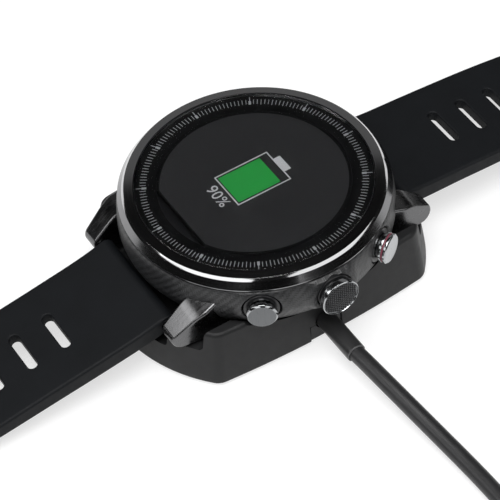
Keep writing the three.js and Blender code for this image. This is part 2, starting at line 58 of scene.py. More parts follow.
# ---------- dimensions shared with the CAD model, in millimetres ----------
DIAL_Z = 19.84  # the face of the display and of the minute ring, under the glass
RING_IN, RING_LOW = 16.63, 19.36  # the minute ring's inner radius and underside
TICKS, MAJOR = 180, 15  # ticks round the dial, and how many from one heavy mark to the next
PANEL = (16.6, 14.6)  # the display's radius and the distance to its flat lower edge
LIT_AREA = (16.1, 14.3)
GLASS_R = 20.45
GLASS_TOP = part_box("cover_glass")[1].z / MM
GLASS_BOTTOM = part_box("cover_glass")[0].z / MM
CASE_R = 23.9
CASE_TOP, CASE_BOTTOM = 18.3, 9.4
CASE_BORE_R = 20.6
BUTTON_Z = 14.8
BUTTONS = {
    "upper": {"angle": 30, "face": 25.7, "cap_r": 2.65, "cap": 1.55, "sleeve_r": 3.1, "sleeve_end": 23.5},
    "middle": {"angle": 0, "face": 26.4, "cap_r": 3.5, "cap": 1.2, "sleeve_r": 3.2, "sleeve_end": 24.4},
    "lower": {"angle": -30, "face": 25.7, "cap_r": 2.65, "cap": 1.05, "sleeve_r": 3.1, "sleeve_end": 23.9},
}
LUG_IN, LUG_OUT = 11.3, 15.8
LUG_LEAN = 0.14  # how far the top face falls outwards, in mm for each mm across
BAR_Y, BAR_Z = 24.6, 9.6
STRAP_W, STRAP_END_W = 21.3, 20.4
SLOT_LONG, SLOT_WIDE = 8.1, 1.8
HOLLOW_W, WEB = 12.6, 2.0
HOLE_HOLLOW, BUCKLE_HOLLOW = (33, 117), (34, 63)  # from and to, as distance from the watch's axis
HOLE_STRAP = [
    (24.6, 9.6, 3.5), (29.5, 8.45, 3.4), (38.7, 6.95, 3.3), (46, 5.9, 3.2), (51, 5.15, 3.1), (56, 4.4, 3.0),
    (62, 3.55, 2.8), (72, 2.45, 2.7), (80, 1.8, 2.7), (88, 1.5, 2.7), (104, 1.5, 2.7), (127, 1.5, 2.5),
]
BUCKLE_STRAP = [
    (24.6, 9.6, 3.5), (30, 9.2, 3.3), (35, 8.95, 3.2), (40, 8.62, 3.2), (50, 7.92, 3.0), (57, 7.2, 2.8),
    (64, 6.2, 2.7), (72, 4.95, 2.7), (80, 3.7, 2.7), (86, 2.76, 2.8), (90, 2.1, 3.5),
]
HOLE_TIP = (116.9, 10.15)  # where the round tip starts, and its length
HOLE_SLOTS = {"first": 40, "pitch": 6.34, "count": 12}
BUCKLE_SLOTS = {"first": 38.8, "pitch": 6, "count": 4}
PIN_Y, PIN_Z = 90, 2.1
TONGUE_W = 7.2
KEEPERS = {"keeper_free": (73, "keeper"), "keeper_fixed": (81.5, "strap_12")}
DOCK_TOP, DOCK_BASE = 11.65, 0.5
DOCK_PLAN = (29.0, 21.3, 197.0, 3.0)  # radius of the ends, middle and radius of the sides, corner radius
DOCK_DRAFT = 0.05  # how much the plan shrinks up to the top
PINS_X, PINS_Y = (-4.5, -1.5, 1.5, 4.5), -12.5
PORT_Z, COLLAR_TOP = 4.4, 3.9
BOOT_END = 30.4
CORD_R = 1.5
CORD_ROUTE = [
    (30.7, 0.05, 4.39), (33, 0.26, 4.33), (37, 0.64, 4.05), (42, 1.23, 3.45), (47, 1.86, 2.75),
    (52, 2.45, 2.15), (57, 2.94, 1.75), (62, 3.25, 1.56), (67, 3.38, 1.5), (72, 3.4, 1.5),
    (77.6, 3.4, 1.55),
]
COIL_X, COIL_Y = 90, -19.5
COIL_INNER, COIL_OUTER, COIL_STEP = 10.5, 22.9, 3.1
LEAD_Z = 1.55  # the cable's height where the coil begins
TIE_ANGLE = -55
CORD_START = 28.6  # inside the boot
TAIL_ROUTE = [
    (112.9, -26, 4.9), (112.9, -32.2, 4.85), (112.9, -36, 4.3), (112.9, -40, 3.95), (112.9, -44, 3.9),
]
PLUG_X, PLUG_Z, PLUG_Y, PLUG_LONG = 112.9, 3.9, -44.3, 18.0
FLOOR_HALF = 3000


# ---------- camera ----------
CAMERA_AZIMUTH, CAMERA_ELEVATION, CAMERA_ROLL = 61.79, 48.18, -5.35
CAMERA_AIM = (5.08, -4.73, 10.3)
CAMERA_DISTANCE = 409.0
CAMERA_LENS, CAMERA_SENSOR = 172.8, 36


def direction(azimuth, elevation):
    """The way from the watch to a place given in degrees: azimuth 0 is towards -Y and 90 towards +X."""
    a, e = math.radians(azimuth), math.radians(elevation)
    return Vector((math.cos(e) * math.sin(a), -math.cos(e) * math.cos(a), math.sin(e)))


def make_camera():
    back = direction(CAMERA_AZIMUTH, CAMERA_ELEVATION)
    side = Vector((0, 0, 1)).cross(back).normalized()
    turn = Matrix((side, back.cross(side), back)).transposed().to_4x4()
    data = bpy.data.cameras.new("camera")
    data.sensor_width = CAMERA_SENSOR
    data.lens = CAMERA_LENS
    data.clip_start = 0.01
    data.clip_end = 10
    cam = bpy.data.objects.new("camera", data)
    bpy.context.scene.collection.objects.link(cam)
    place = Matrix.Translation((Vector(CAMERA_AIM) + back * CAMERA_DISTANCE) * MM)
    cam.matrix_world = place @ turn @ Matrix.Rotation(math.radians(CAMERA_ROLL), 4, "Z")
    bpy.context.scene.camera = cam


make_camera()


# ---------- mesh helpers ----------
def in_scene(name, data):
    thing = bpy.data.objects.new(name, data)
    bpy.context.scene.collection.objects.link(thing)
    return thing


def show(name, mesh, body, materials, angle=30):
    """A visible piece: smoothed up to an angle, given its materials and riding on a body."""
    piece = in_scene(name, smooth(mesh, angle))
    even = piece.modifiers.new("even_shading", "WEIGHTED_NORMAL")
    even.keep_sharp = True
    for material in materials.split():
        mesh.materials.append(MATS[material])
    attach(piece, body)
    return piece


def from_data(name, verts, faces):
    """A mesh from points in millimetres, with doubled points and edges of no length removed."""
    mesh = bpy.data.meshes.new(name)
    mesh.from_pydata([Vector(v) * MM for v in verts], [], faces)
    bm = bmesh.new()
    bm.from_mesh(mesh)
    bmesh.ops.remove_doubles(bm, verts=bm.verts, dist=1e-7)
    bmesh.ops.dissolve_degenerate(bm, edges=bm.edges, dist=1e-8)
    bmesh.ops.recalc_face_normals(bm, faces=bm.faces)
    bm.to_mesh(mesh)
    bm.free()
    return mesh


def loft(name, rings, endless=False):
    """Rings of points joined one after another. The ends are capped, or joined to each other if endless."""
    count, n = len(rings), len(rings[0])
    faces = []
    for i in range(count if endless else count - 1):
        a, b = i * n, (i + 1) % count * n
        faces += [(a + j, a + (j + 1) % n, b + (j + 1) % n, b + j) for j in range(n)]
    if not endless:
        faces += [tuple(range(n)), tuple(range((count - 1) * n, count * n))]
    return from_data(name, [point for ring in rings for point in ring], faces)


def smooth(mesh, angle):
    mesh.polygons.foreach_set("use_smooth", [True] * len(mesh.polygons))
    mesh.set_sharp_from_angle(angle=math.radians(angle))
    return mesh


def rounded(profile, radii, steps=4):
    """A polyline with its inner corners rounded to the given radii (one value, or one for each corner)."""
    points = [Vector(p) for p in profile]
    if not isinstance(radii, (list, tuple)):
        radii = [radii] * (len(points) - 2)
    out = [points[0]]
    for before, corner, after, r in zip(points, points[1:], points[2:], radii):
        a, b = (before - corner), (after - corner)
        reach = min(r / math.tan(max(a.angle(b), 0.05) / 2), a.length * 0.45, b.length * 0.45)
        start, end = corner + a.normalized() * reach, corner + b.normalized() * reach
        for i in range(steps + 1):
            t = i / steps
            out.append(start * (1 - t) ** 2 + corner * (2 * t * (1 - t)) + end * t ** 2)
    out.append(points[-1])
    return [tuple(p) for p in out]


def turned_mesh(name, profile, steps, closed=False):
    """A (radius, height) profile turned about the vertical axis. A closed profile makes a ring."""
    verts, faces = [], []
    n = len(profile)
    for i in range(steps):
        c, s = math.cos(2 * PI * i / steps), math.sin(2 * PI * i / steps)
        verts += [(r * c, r * s, z) for r, z in profile]
        a, b = i * n, (i + 1) % steps * n
        faces += [(a + k, b + k, b + (k + 1) % n, a + (k + 1) % n) for k in range(n if closed else n - 1)]
    return from_data(name, verts, faces)


def along_axis(outline, h, axis):
    """A flat outline set at h along an axis: (x, y) along z, (y, z) along x or (x, z) along y."""
    if axis == "z":
        return [(x, y, h) for x, y in outline]
    return [(h, y, z) for y, z in outline] if axis == "x" else [(x, h, z) for x, z in outline]


def prism_mesh(name, outline, low, high, axis="z"):
    """A flat outline carried from low to high along an axis."""
    return loft(name, [along_axis(outline, h, axis) for h in (low, high)])


def inset_loop(loop, amount):
    """A closed outline, anticlockwise, moved inwards along its averaged edge normals."""
    out = []
    n = len(loop)
    for i in range(n):
        a, b, c = (Vector(loop[(i + k) % n]) for k in (-1, 0, 1))
        first, second = (b - a).normalized(), (c - b).normalized()
        normal = Vector((-first.y - second.y, first.x + second.x))
        if normal.length < 1e-9:
            normal = Vector((-first.y, first.x))
        normal.normalize()
        lean = max(0.5, normal.dot(Vector((-first.y, first.x))))
        out.append(tuple(b + normal * amount / lean))
    return out


def closed_profile(points, radii, steps=3):
    """A closed profile with its corners rounded, all but the first."""
    return rounded([*points, points[0]], radii, steps)[:-1]


def soft_prism(name, loop, low, high, rim, axis="z", steps=4):
    """An outline carried from low to high with quarter-round rims at both ends."""
    area = sum(a[0] * b[1] - b[0] * a[1] for a, b in zip(loop, loop[1:] + loop[:1]))
    loop = loop if area > 0 else loop[::-1]
    turns = [PI / 2 * i / steps for i in range(steps + 1)]
    levels = [(low + rim * (1 - math.cos(a)), rim * (1 - math.sin(a))) for a in turns]
    levels += [(low + high - h, inset) for h, inset in reversed(levels)]
    return loft(name, [along_axis(inset_loop(loop, inset), h, axis) for h, inset in levels])


def arc(cx, cy, r, a0, a1, steps):
    """Points on a circle from one angle to another, in degrees."""
    angles = [math.radians(a0 + (a1 - a0) * i / steps) for i in range(steps + 1)]
    return [(cx + r * math.cos(a), cy + r * math.sin(a)) for a in angles]


def box_mesh(name, x0, x1, y0, y1, z0, z1):
    return prism_mesh(name, [(x0, y0), (x1, y0), (x1, y1), (x0, y1)], z0, z1)


def rod_mesh(name, radius, x0, x1, y, z, steps):
    return prism_mesh(name, arc(y, z, radius, 0, 360, steps)[:-1], x0, x1, axis="x")


def boolean(mesh, other, how):
    """mesh with other cut from it, joined to it or kept in common, as a new mesh."""
    a, b = in_scene("a", mesh), in_scene("b", other)
    change = a.modifiers.new("cut", "BOOLEAN")
    change.operation = how
    change.object = b
    change.solver = "EXACT"
    done = bake(a)
    bpy.data.objects.remove(b)
    return done


def cut(mesh, *tools):
    for tool in tools:
        mesh = boolean(mesh, tool, "DIFFERENCE")
    return mesh


def common(mesh, other):
    return boolean(mesh, other, "INTERSECT")


def bake(holder):
    """The holder's mesh with its modifiers applied. The holder is removed."""
    bpy.context.view_layer.update()
    graph = bpy.context.evaluated_depsgraph_get()
    mesh = bpy.data.meshes.new_from_object(holder.evaluated_get(graph))
    bpy.data.objects.remove(holder)
    return mesh


def bevelled(mesh, width, angle=40, segments=3):
    """mesh with its sharp edges rounded, after flat neighbours are joined."""
    holder = in_scene("bevelled", mesh)
    flat = holder.modifiers.new("flat", "DECIMATE")
    flat.decimate_type = "DISSOLVE"
    flat.angle_limit = math.radians(0.3)
    bevel = holder.modifiers.new("round", "BEVEL")
    bevel.width = width * MM
    bevel.segments = segments
    bevel.limit_method = "ANGLE"
    bevel.angle_limit = math.radians(angle)
    return bake(holder)


def placed(mesh, matrix):
    mesh.transform(matrix)
    return mesh


def moved(x, y, z):
    return Matrix.Translation(Vector((x, y, z)) * MM)


def along_x(mesh, y, z):
    """Lays a shape from the vertical axis along +X, at a place."""
    return placed(mesh, moved(0, y, z) @ Matrix.Rotation(PI / 2, 4, "Y"))


def at_rim(mesh, angle):
    """Lays a shape along +X at the buttons' height, then turns it to an angle from 3 o'clock."""
    return placed(along_x(mesh, 0, BUTTON_Z), Matrix.Rotation(math.radians(angle), 4, "Z"))


def joined(name, meshes):
    """Several meshes as one, sharing one material list."""
    bm = bmesh.new()
    for m in meshes:
        bm.from_mesh(m)
    mesh = bpy.data.meshes.new(name)
    bm.to_mesh(mesh)
    bm.free()
    return mesh


# ---------- material helpers ----------
class Nodes:
    """A material's node tree with short calls for the nodes used here."""

    def __init__(self, name, color, rough, metal=0.0, **extra):
        self.mat = bpy.data.materials.new(name)
        self.mat.use_nodes = True
        self.tree = self.mat.node_tree
        self.bsdf = self.tree.nodes["Principled BSDF"]
        self.set("Base Color", (*color, 1.0))
        self.set("Roughness", rough)
        self.set("Metallic", metal)
        for key, value in extra.items():
            self.set(key.replace("_", " "), value)

    def set(self, socket, value):
        self.bsdf.inputs[socket].default_value = value

    def plug(self, out, socket):
        self.tree.links.new(out, self.bsdf.inputs[socket])

    def node(self, kind, inputs=(), **props):
        n = self.tree.nodes.new(kind)
        for key, value in props.items():
            setattr(n, key, value)
        for key, value in dict(inputs).items():
            if isinstance(value, bpy.types.NodeSocket):
                self.tree.links.new(value, n.inputs[key])
            else:
                n.inputs[key].default_value = value
        return n

    def math(self, operation, a, b=0.0, c=0.0):
        return self.node("ShaderNodeMath", {0: a, 1: b, 2: c}, operation=operation).outputs[0]

    def place(self, scale=(1000.0, 1000.0, 1000.0)):
        """Object coordinates with a scale for each axis, which gives millimetres unless told otherwise."""
        texture = self.node("ShaderNodeTexCoord").outputs["Object"]
        return self.node("ShaderNodeMapping", {"Vector": texture, "Scale": scale}).outputs[0]

    def noise(self, vector, scale, detail=3.0, rough=0.55):
        return self.node("ShaderNodeTexNoise", {"Vector": vector, "Scale": scale, "Detail": detail,
                                                "Roughness": rough}).outputs["Fac"]

    def ramp(self, value, low, high, out_low, out_high):
        return self.node("ShaderNodeMapRange", {"Value": value, 1: low, 2: high, 3: out_low, 4: out_high},
                         clamp=True).outputs[0]

    def mix(self, factor, a, b):
        a, b = (c if isinstance(c, bpy.types.NodeSocket) else (*c, 1.0) for c in (a, b))
        return self.node("ShaderNodeMix", {0: factor, 6: a, 7: b}, data_type="RGBA").outputs[2]

    def bump(self, height, strength, distance):
        b = self.node("ShaderNodeBump", {"Height": height, "Strength": strength, "Distance": distance})
        self.plug(b.outputs[0], "Normal")

    def split(self, vector):
        return self.node("ShaderNodeSeparateXYZ", {"Vector": vector}).outputs

    def join(self, x, y, z=0.0):
        return self.node("ShaderNodeCombineXYZ", {0: x, 1: y, 2: z}).outputs[0]

    def lined(self, lines, color, tones, roughness, depth, distance):
        """Colour, roughness and bump that all follow one pattern of lines."""
        dark, light = ([min(1, c * tone) for c in color] for tone in tones)
        self.plug(self.mix(lines, dark, light), "Base Color")
        self.plug(self.ramp(lines, 0.3, 0.7, *roughness), "Roughness")
        self.bump(lines, depth, distance)


def grained(name, color, rough, grain=3.0, depth=0.25, swing=0.25, spread=0.06, **extra):
    """Moulded plastic or rubber: fine surface grain, slow colour variation and uneven roughness."""
    n = Nodes(name, color, rough, **extra)
    spot = n.place()
    slow = n.noise(spot, 0.12, 2.0)
    fine = n.noise(spot, grain, 4.0, 0.6)
    n.plug(n.mix(n.ramp(slow, 0.35, 0.65, 0.0, 1.0), [c * (1 - swing) for c in color],
                 [c * (1 + swing) for c in color]), "Base Color")
    n.plug(n.ramp(n.noise(spot, 0.6, 4.0), 0.3, 0.7, rough - spread, rough + spread), "Roughness")
    n.bump(fine, depth, 0.00006)
    return n.mat


def brushed(name, color, rough, across, depth):
    """Metal with fine brush lines, packed closest along the axis with the largest scale."""
    n = Nodes(name, color, rough, 1.0)
    lines = n.noise(n.place(across), 6.0, 4.0, 0.7)
    n.lined(lines, color, (0.82, 1.15), (rough - 0.05, rough + 0.08), depth, 0.00002)
    return n.mat


def ring_brushed(name, color, rough, depth):
    """Metal turned on a lathe: fine lines around the watch's axis."""
    n = Nodes(name, color, rough, 1.0)
    x, y, z = n.split(n.place())
    radius = n.math("SQRT", n.math("ADD", n.math("MULTIPLY", x, x), n.math("MULTIPLY", y, y)))
    around = n.math("MULTIPLY", n.math("ARCTAN2", y, x), 1.4)
    spot = n.join(n.math("MULTIPLY", radius, 9.0), around, n.math("MULTIPLY", z, 9.0))
    lines = n.noise(spot, 2.0, 4.0, 0.7)
    n.lined(lines, color, (0.85, 1.12), (rough - 0.04, rough + 0.06), depth, 0.00001)
    return n.mat


def carbon_weave(name):
    """Twill carbon cloth wrapped round the case: tows over tows on the diagonal, under a satin coat."""
    n = Nodes(name, (0.03, 0.03, 0.032), 0.42, 0.0, Coat_Weight=0.12, Coat_Roughness=0.3)
    x, y, z = n.split(n.place())
    tow = 0.38
    u = n.math("DIVIDE", n.math("MULTIPLY", n.math("ARCTAN2", y, x), CASE_R), tow)
    v = n.math("DIVIDE", z, tow)
    phase = n.math("FLOORED_MODULO", n.math("SUBTRACT", n.math("FLOOR", u), n.math("FLOOR", v)), 4.0)
    over = n.math("LESS_THAN", phase, 2.0)
    under = n.math("SUBTRACT", 1.0, over)

    def bow(along):
        return n.math("SINE", n.math("MULTIPLY", n.math("FRACT", along), PI))

    def fibres(across, along):
        return n.noise(n.join(n.math("MULTIPLY", across, 14.0), along), 1.0, 3.0)

    def woven(a, b):
        return n.math("ADD", n.math("MULTIPLY", over, a), n.math("MULTIPLY", under, b))

    top = woven(bow(u), bow(v))
    fibre = woven(fibres(u, v), fibres(v, u))
    tone = n.mix(over, (0.0026, 0.0028, 0.0032), (0.019, 0.0194, 0.0208))
    n.plug(n.mix(n.ramp(fibre, 0.3, 0.7, 0.0, 0.35), tone, (0.028, 0.029, 0.031)), "Base Color")
    n.plug(n.ramp(fibre, 0.3, 0.7, 0.30, 0.50), "Roughness")
    n.bump(n.math("ADD", top, n.math("MULTIPLY", fibre, 0.3)), 0.8, 0.00004)
    return n.mat


def painted_glow(name, color, strength):
    """A part of the dial made to glow by itself: painted light standing in for the lamps' light that
    reaches the dial through the glass.
    """
    n = Nodes(name, color, 0.4)
    cells = n.noise(n.place(), 5.0, 2.0)
    n.plug(n.mix(cells, [c * 0.97 for c in color], [min(1, c * 1.03) for c in color]), "Base Color")
    n.set("Emission Color", (*color, 1.0))
    n.set("Emission Strength", strength)
    return n.mat


def make_glass():
    n = Nodes("cover_glass_clear", (0.92, 0.93, 0.94), 0.01, IOR=1.5, Transmission_Weight=1.0)
    smudge = n.noise(n.place(), 0.12, 3.0)
    n.plug(n.ramp(smudge, 0.4, 0.7, 0.005, 0.035), "Roughness")
    return n.mat


MATS = {
    "bezel": ring_brushed("bezel_satin", (0.27, 0.27, 0.275), 0.13, 0.04),
    "chamfer": ring_brushed("bezel_polished", (0.60, 0.60, 0.61), 0.07, 0.02),
    "bezel_side": ring_brushed("bezel_side", (0.24, 0.24, 0.245), 0.12, 0.03),
    "carbon": carbon_weave("carbon_weave"),
    "lug": brushed("lug_satin", (0.14, 0.14, 0.143), 0.24, (300, 60, 60), 0.06),
    "polished": brushed("polished_steel", (0.42, 0.43, 0.44), 0.13, (90, 90, 90), 0.03),
    "button_face": brushed("button_satin", (0.155, 0.16, 0.165), 0.30, (60, 500, 60), 0.05),
    "upper_face": brushed("upper_button_satin", (0.45, 0.46, 0.47), 0.30, (60, 500, 60), 0.05),
    "knurl": brushed("knurled_steel", (0.062, 0.062, 0.064), 0.30, (200, 200, 200), 0.05),
    "buckle": brushed("buckle_dark", (0.13, 0.13, 0.135), 0.30, (500, 60, 60), 0.10),
    "accent": grained("accent_red", (0.22, 0.05, 0.075), 0.35, 5.0, 0.05, 0.12, 0.04),
    "sleeve": grained("sleeve_black", (0.010, 0.010, 0.011), 0.32, 5.0, 0.06, 0.2, 0.04),
    "silicone": grained("silicone_black", (0.0040, 0.0048, 0.0061), 0.60, 9.0, 0.22, 0.10, 0.05,
                        Specular_IOR_Level=0.2),
    "dock": grained("dock_matte", (0.0090, 0.0092, 0.0098), 0.50, 7.0, 0.30, 0.10, 0.05,
                    Specular_IOR_Level=0.3),
    "gloss": grained("black_gloss", (0.006, 0.006, 0.007), 0.18, 5.0, 0.03, 0.15, 0.03),
    "boot": grained("boot_satin", (0.020, 0.020, 0.0205), 0.34, 5.0, 0.04, 0.15, 0.04),
    # the ring round the boot's mouth is coloured lighter than the tube
    "boot_edge": grained("boot_lighter_end", (0.07, 0.07, 0.072), 0.40, 5.0, 0.04, 0.15, 0.04),
    "cable": grained("cable_satin", (0.016, 0.016, 0.017), 0.42, 8.0, 0.15, 0.15, 0.06),
    "dial": grained("dial_black", (0.005, 0.005, 0.0055), 0.6, 8.0, 0.05, 0.15, 0.05,
                    Specular_IOR_Level=0.1),
    "screen": grained("screen_off", (0.006, 0.006, 0.0065), 0.6, 8.0, 0.03, 0.10, 0.03,
                      Specular_IOR_Level=0.1),
    # the screen's lit area, the dial's marks and the icons glow by themselves: painted light in place of
    # lamp light through the glass
    "screen_lit": painted_glow("screen_lit", (0.012, 0.012, 0.0125), 0.68),
    "mark": painted_glow("dial_mark", (0.32, 0.33, 0.34), 0.34),
    "icon_line": painted_glow("icon_grey", (0.42, 0.42, 0.43), 0.42),
    "icon_green": painted_glow("icon_green", (0.012, 0.21, 0.034), 0.62),
    "back": grained("case_back_black", (0.011, 0.011, 0.012), 0.42, 6.0, 0.20, 0.15, 0.05),
    "board": grained("solder_mask", (0.02, 0.09, 0.04), 0.45, 3.0, 0.3, 0.25, 0.1),
    "gold": brushed("gold_plate", (0.75, 0.52, 0.20), 0.25, (200, 200, 200), 0.05),
    "foil": brushed("battery_foil", (0.55, 0.55, 0.57), 0.38, (40, 300, 40), 0.25),
    "tie": grained("tie_fabric", (0.012, 0.012, 0.013), 0.85, 12.0, 0.9, 0.3, 0.08, Sheen_Weight=0.3),
    "insulator": grained("plug_insulator", (0.03, 0.03, 0.032), 0.4, 5.0, 0.1, 0.1, 0.05),
    "glass": make_glass(),
}


# ---------- cable, its coil, tie and plug ----------
def smooth_line(points, per_step):
    """A Catmull-Rom line through points given in millimetres."""
    out = []
    padded = [points[0]] + list(points) + [points[-1]]
    for a, b, c, d in zip(padded, padded[1:], padded[2:], padded[3:]):
        a, b, c, d = (Vector(p) for p in (a, b, c, d))
        for i in range(per_step):
            t = i / per_step
            out.append(0.5 * ((2 * b) + (c - a) * t + (2 * a - 5 * b + 4 * c - d) * t * t
                              + (3 * b - a - 3 * c + d) * t ** 3))
    out.append(Vector(points[-1]))
    return out


def coil_line():
    """Two layers of turns, wound clockwise: four inwards along the table, then four outwards on top."""
    per_turn = 36
    turns_in, rise, turns_out = 4, 0.25, 4
    low, high = CORD_R + 0.3, CORD_R + 0.3 + COIL_STEP
    out = []
    total = int((turns_in + rise + turns_out) * per_turn)
    for i in range(1, total + 1):
        turn = i / per_turn
        angle = PI / 2 - 2 * PI * turn
        if turn <= turns_in:
            r, z = COIL_OUTER - COIL_STEP * turn, low
        elif turn <= turns_in + rise:
            t = (turn - turns_in) / rise
            r, z = COIL_INNER, low + (high - low) * t * t * (3 - 2 * t)
        else:
            r, z = COIL_INNER + COIL_STEP * (turn - turns_in - rise), high
        if turn <= 1:
            z = LEAD_Z + (z - LEAD_Z) * min(1.0, turn / 0.4)
        out.append(Vector((COIL_X + r * math.cos(angle), COIL_Y + r * math.sin(angle), z)))
    return out


def make_cord():
    lead = smooth_line(CORD_ROUTE + [(84, 3.4, 1.6), (COIL_X, COIL_Y + COIL_OUTER, 1.62)], 4)
    tail = smooth_line(TAIL_ROUTE + [(PLUG_X, PLUG_Y - 2, PLUG_Z)], 4)
    points = [Vector((CORD_START, 0, PORT_Z))] + lead + coil_line() + tail
    curve = bpy.data.curves.new("charging_cable", "CURVE")
    curve.dimensions = "3D"
    spline = curve.splines.new("POLY")
    spline.points.add(len(points) - 1)
    for p, q in zip(spline.points, points):
        p.co = (*(q * MM), 1.0)
    curve.bevel_depth = CORD_R * MM
    curve.bevel_resolution = 6
    curve.use_fill_caps = True
    piece = in_scene("charging_cable", curve)
    curve.materials.append(MATS["cable"])
    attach(piece, "dock")
    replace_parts(piece, "cord_lead", "cord_coil", "cord_tail")
    length = sum((b - a).length for a, b in zip(points, points[1:])) * MM
    return piece, length


def make_tie():
    """A thin woven strap round the bundle of turns, on the coil's far side."""
    inner, outer = COIL_INNER - CORD_R - 0.1, COIL_OUTER + CORD_R + 0.1
    low, high = 0.14, CORD_R * 2 + COIL_STEP + 0.42
    half, thick, corner = 3.0, 0.14, 1.3
    section = [(-half, thick * 0.4), (-half * 0.96, thick), (half * 0.96, thick), (half, thick * 0.4),
               (half, -thick * 0.4), (half * 0.96, -thick * 0.6), (-half * 0.96, -thick * 0.6),
               (-half, -thick * 0.4)]
    rings = []
    for cx, cz, start in ((outer - corner, high - corner, 0), (inner + corner, high - corner, 90),
                          (inner + corner, low + corner, 180), (outer - corner, low + corner, 270)):
        for angle in range(start, start + 91, 15):
            c, s = math.cos(math.radians(angle)), math.sin(math.radians(angle))
            rings.append([(cx + (corner + out) * c, w, cz + (corner + out) * s) for w, out in section])
    turn = moved(COIL_X, COIL_Y, 0) @ Matrix.Rotation(math.radians(TIE_ANGLE), 4, "Z")
    mesh = placed(loft("cable_tie", rings, True), turn)
    return show("cable_tie", mesh, "dock", "tie", 50)


def rounded_rect(w, h, r, steps=6):
    x, y = w / 2 - r, h / 2 - r
    corners = ((x, y, 0), (-x, y, 90), (-x, -y, 180), (x, -y, 270))
    return [p for cx, cy, start in corners for p in arc(cx, cy, r, start, start + 90, steps)]


def plug_box(x0, x1, y0, y1, z0, z1):
    """A box whose x and z are measured from the plug's axis."""
    return box_mesh("plug_box", PLUG_X + x0, PLUG_X + x1, y0, y1, PLUG_Z + z0, PLUG_Z + z1)


def make_plug():
    """A USB-A plug: a grooved grip with its strain relief, and a metal shell round the contacts."""
    y0 = PLUG_Y
    sections = [
        (0, 8.6, 5.4, 1.6), (0.5, 10.6, 6.8, 1.9), (1.6, 12.0, 7.4, 2.0), (4, 12.4, 7.6, 2.0),
        (14, 12.4, 7.6, 2.0), (17, 12.2, 7.4, 1.8), (17.7, 11.8, 7.0, 1.6), (PLUG_LONG, 11.2, 6.4, 1.4),
    ]
    body = loft("usb_grip", [[(PLUG_X + x, y0 - back, PLUG_Z + z) for x, z in rounded_rect(w, h, r)]
                             for back, w, h, r in sections])
    for i in range(4):
        y = y0 - 5 - i * 1.7
        for z in (-3.8, 3.8):
            body = cut(body, plug_box(-3.6, 3.6, y - 0.35, y + 0.35, z - 0.25, z + 0.25))
    grip = show("usb_grip", bevelled(body, 0.12), "dock", "gloss", 35)
    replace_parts(grip, "usb_plug_body")

    y1 = y0 - PLUG_LONG - 0.3
    shell = cut(plug_box(-6, 6, y1 - 12, y1, -2.25, 2.25),
                plug_box(-5.65, 5.65, y1 - 15, y1 - 0.8, -1.9, 1.9))
    for x in (-2.6, 2.6):
        for z in (-2.1, 2.1):
            shell = cut(shell, plug_box(x - 1.1, x + 1.1, y1 - 6.6, y1 - 4.2, z - 0.6, z + 0.6))
    shell_piece = show("usb_shell", bevelled(shell, 0.14), "dock", "polished", 35)
    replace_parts(shell_piece, "usb_plug_shell")

    insulator = bevelled(plug_box(-5.5, 5.5, y1 - 11.4, y1 - 1.0, -1.8, -0.1), 0.15)
    insert = show("usb_insulator", insulator, "dock", "insulator", 35)
    pads = [bevelled(plug_box(x - 0.55, x + 0.55, y1 - 10.9, y1 - 3.5, -0.12, 0.02), 0.04)
            for x in (-3.5, -1.15, 1.15, 3.5)]
    contacts = show("usb_contacts", joined("usb_contacts", pads), "dock", "gold", 35)

    relief = turned_mesh("plug_relief", rounded([
        (CORD_R + 0.12, 0.0), (CORD_R + 0.45, 0.2), (2.0, 3.2), (2.0, 3.6), (1.8, 3.8), (1.8, 4.2),
        (2.1, 4.4), (2.35, 6.4), (2.35, 6.8), (2.1, 7.0), (2.1, 7.4), (2.4, 7.6), (2.7, 9.4), (2.6, 10.2),
        (CORD_R - 0.2, 10.2), (CORD_R - 0.2, 0.0),
    ], 0.1, 2), 48, True)
    placed(relief, moved(PLUG_X, PLUG_Y + 9.4, PLUG_Z) @ Matrix.Rotation(PI / 2, 4, "X"))
    return [grip, shell_piece, insert, contacts,
            show("plug_relief", relief, "dock", "gloss", 35)]


def make_boot():
    """The tube that the cable leaves the dock through, with a lighter ring round its mouth."""
    x0, x1, r = 18.6, BOOT_END, 1.75
    profile = rounded([
        (0.2, x0), (r, x0), (r, x1 - 0.55), (r, x1 - 0.18), (r - 0.18, x1), (CORD_R + 0.06, x1),
        (CORD_R + 0.04, x1 - 1.2), (0.2, x1 - 1.2),
    ], 0.1, 3)
    mesh = along_x(turned_mesh("cable_boot_tube", profile, 64, True), 0, PORT_Z)
    boot = show("cable_boot_tube", mesh, "dock", "boot boot_edge", 35)
    for face in mesh.polygons:
        if face.center.x > (x1 - 0.2) * MM:
            face.material_index = 1
    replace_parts(boot, "cable_boot")
    return boot


CORD, CORD_LENGTH = make_cord()
BOOT = make_boot()
make_tie()
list(make_plug())


def numbered(stem):
    return [f"{stem}_{i}" for i in range(1, 5)]


# the CAD nodes that stay, by material
CAD_FINISH = {
    "sleeve": ["glass_gasket", "inner_frame", "upper_switch", "middle_switch", "lower_switch"],
    "board": ["main_board", "sensor_board", "dock_board"],
    "foil": ["battery_cell", "vibration_motor"],
    "gold": ["gps_antenna", *numbered("charging_contact"), *numbered("pogo_pin")],
    "polished": numbered("case_screw"),
    "back": ["case_back"],
    "gloss": ["sensor_window"],
    "silicone": ["back_gasket", "dock_foot_pad"],
    "dock": ["dock_base_plate"],
}


def finish_cad_nodes():
    for material, names in CAD_FINISH.items():
        for name in names:
            mesh = frame["nodes"][name].data
            mesh.materials.clear()
            mesh.materials.append(MATS[material])
            smooth(mesh, 30)


finish_cad_nodes()


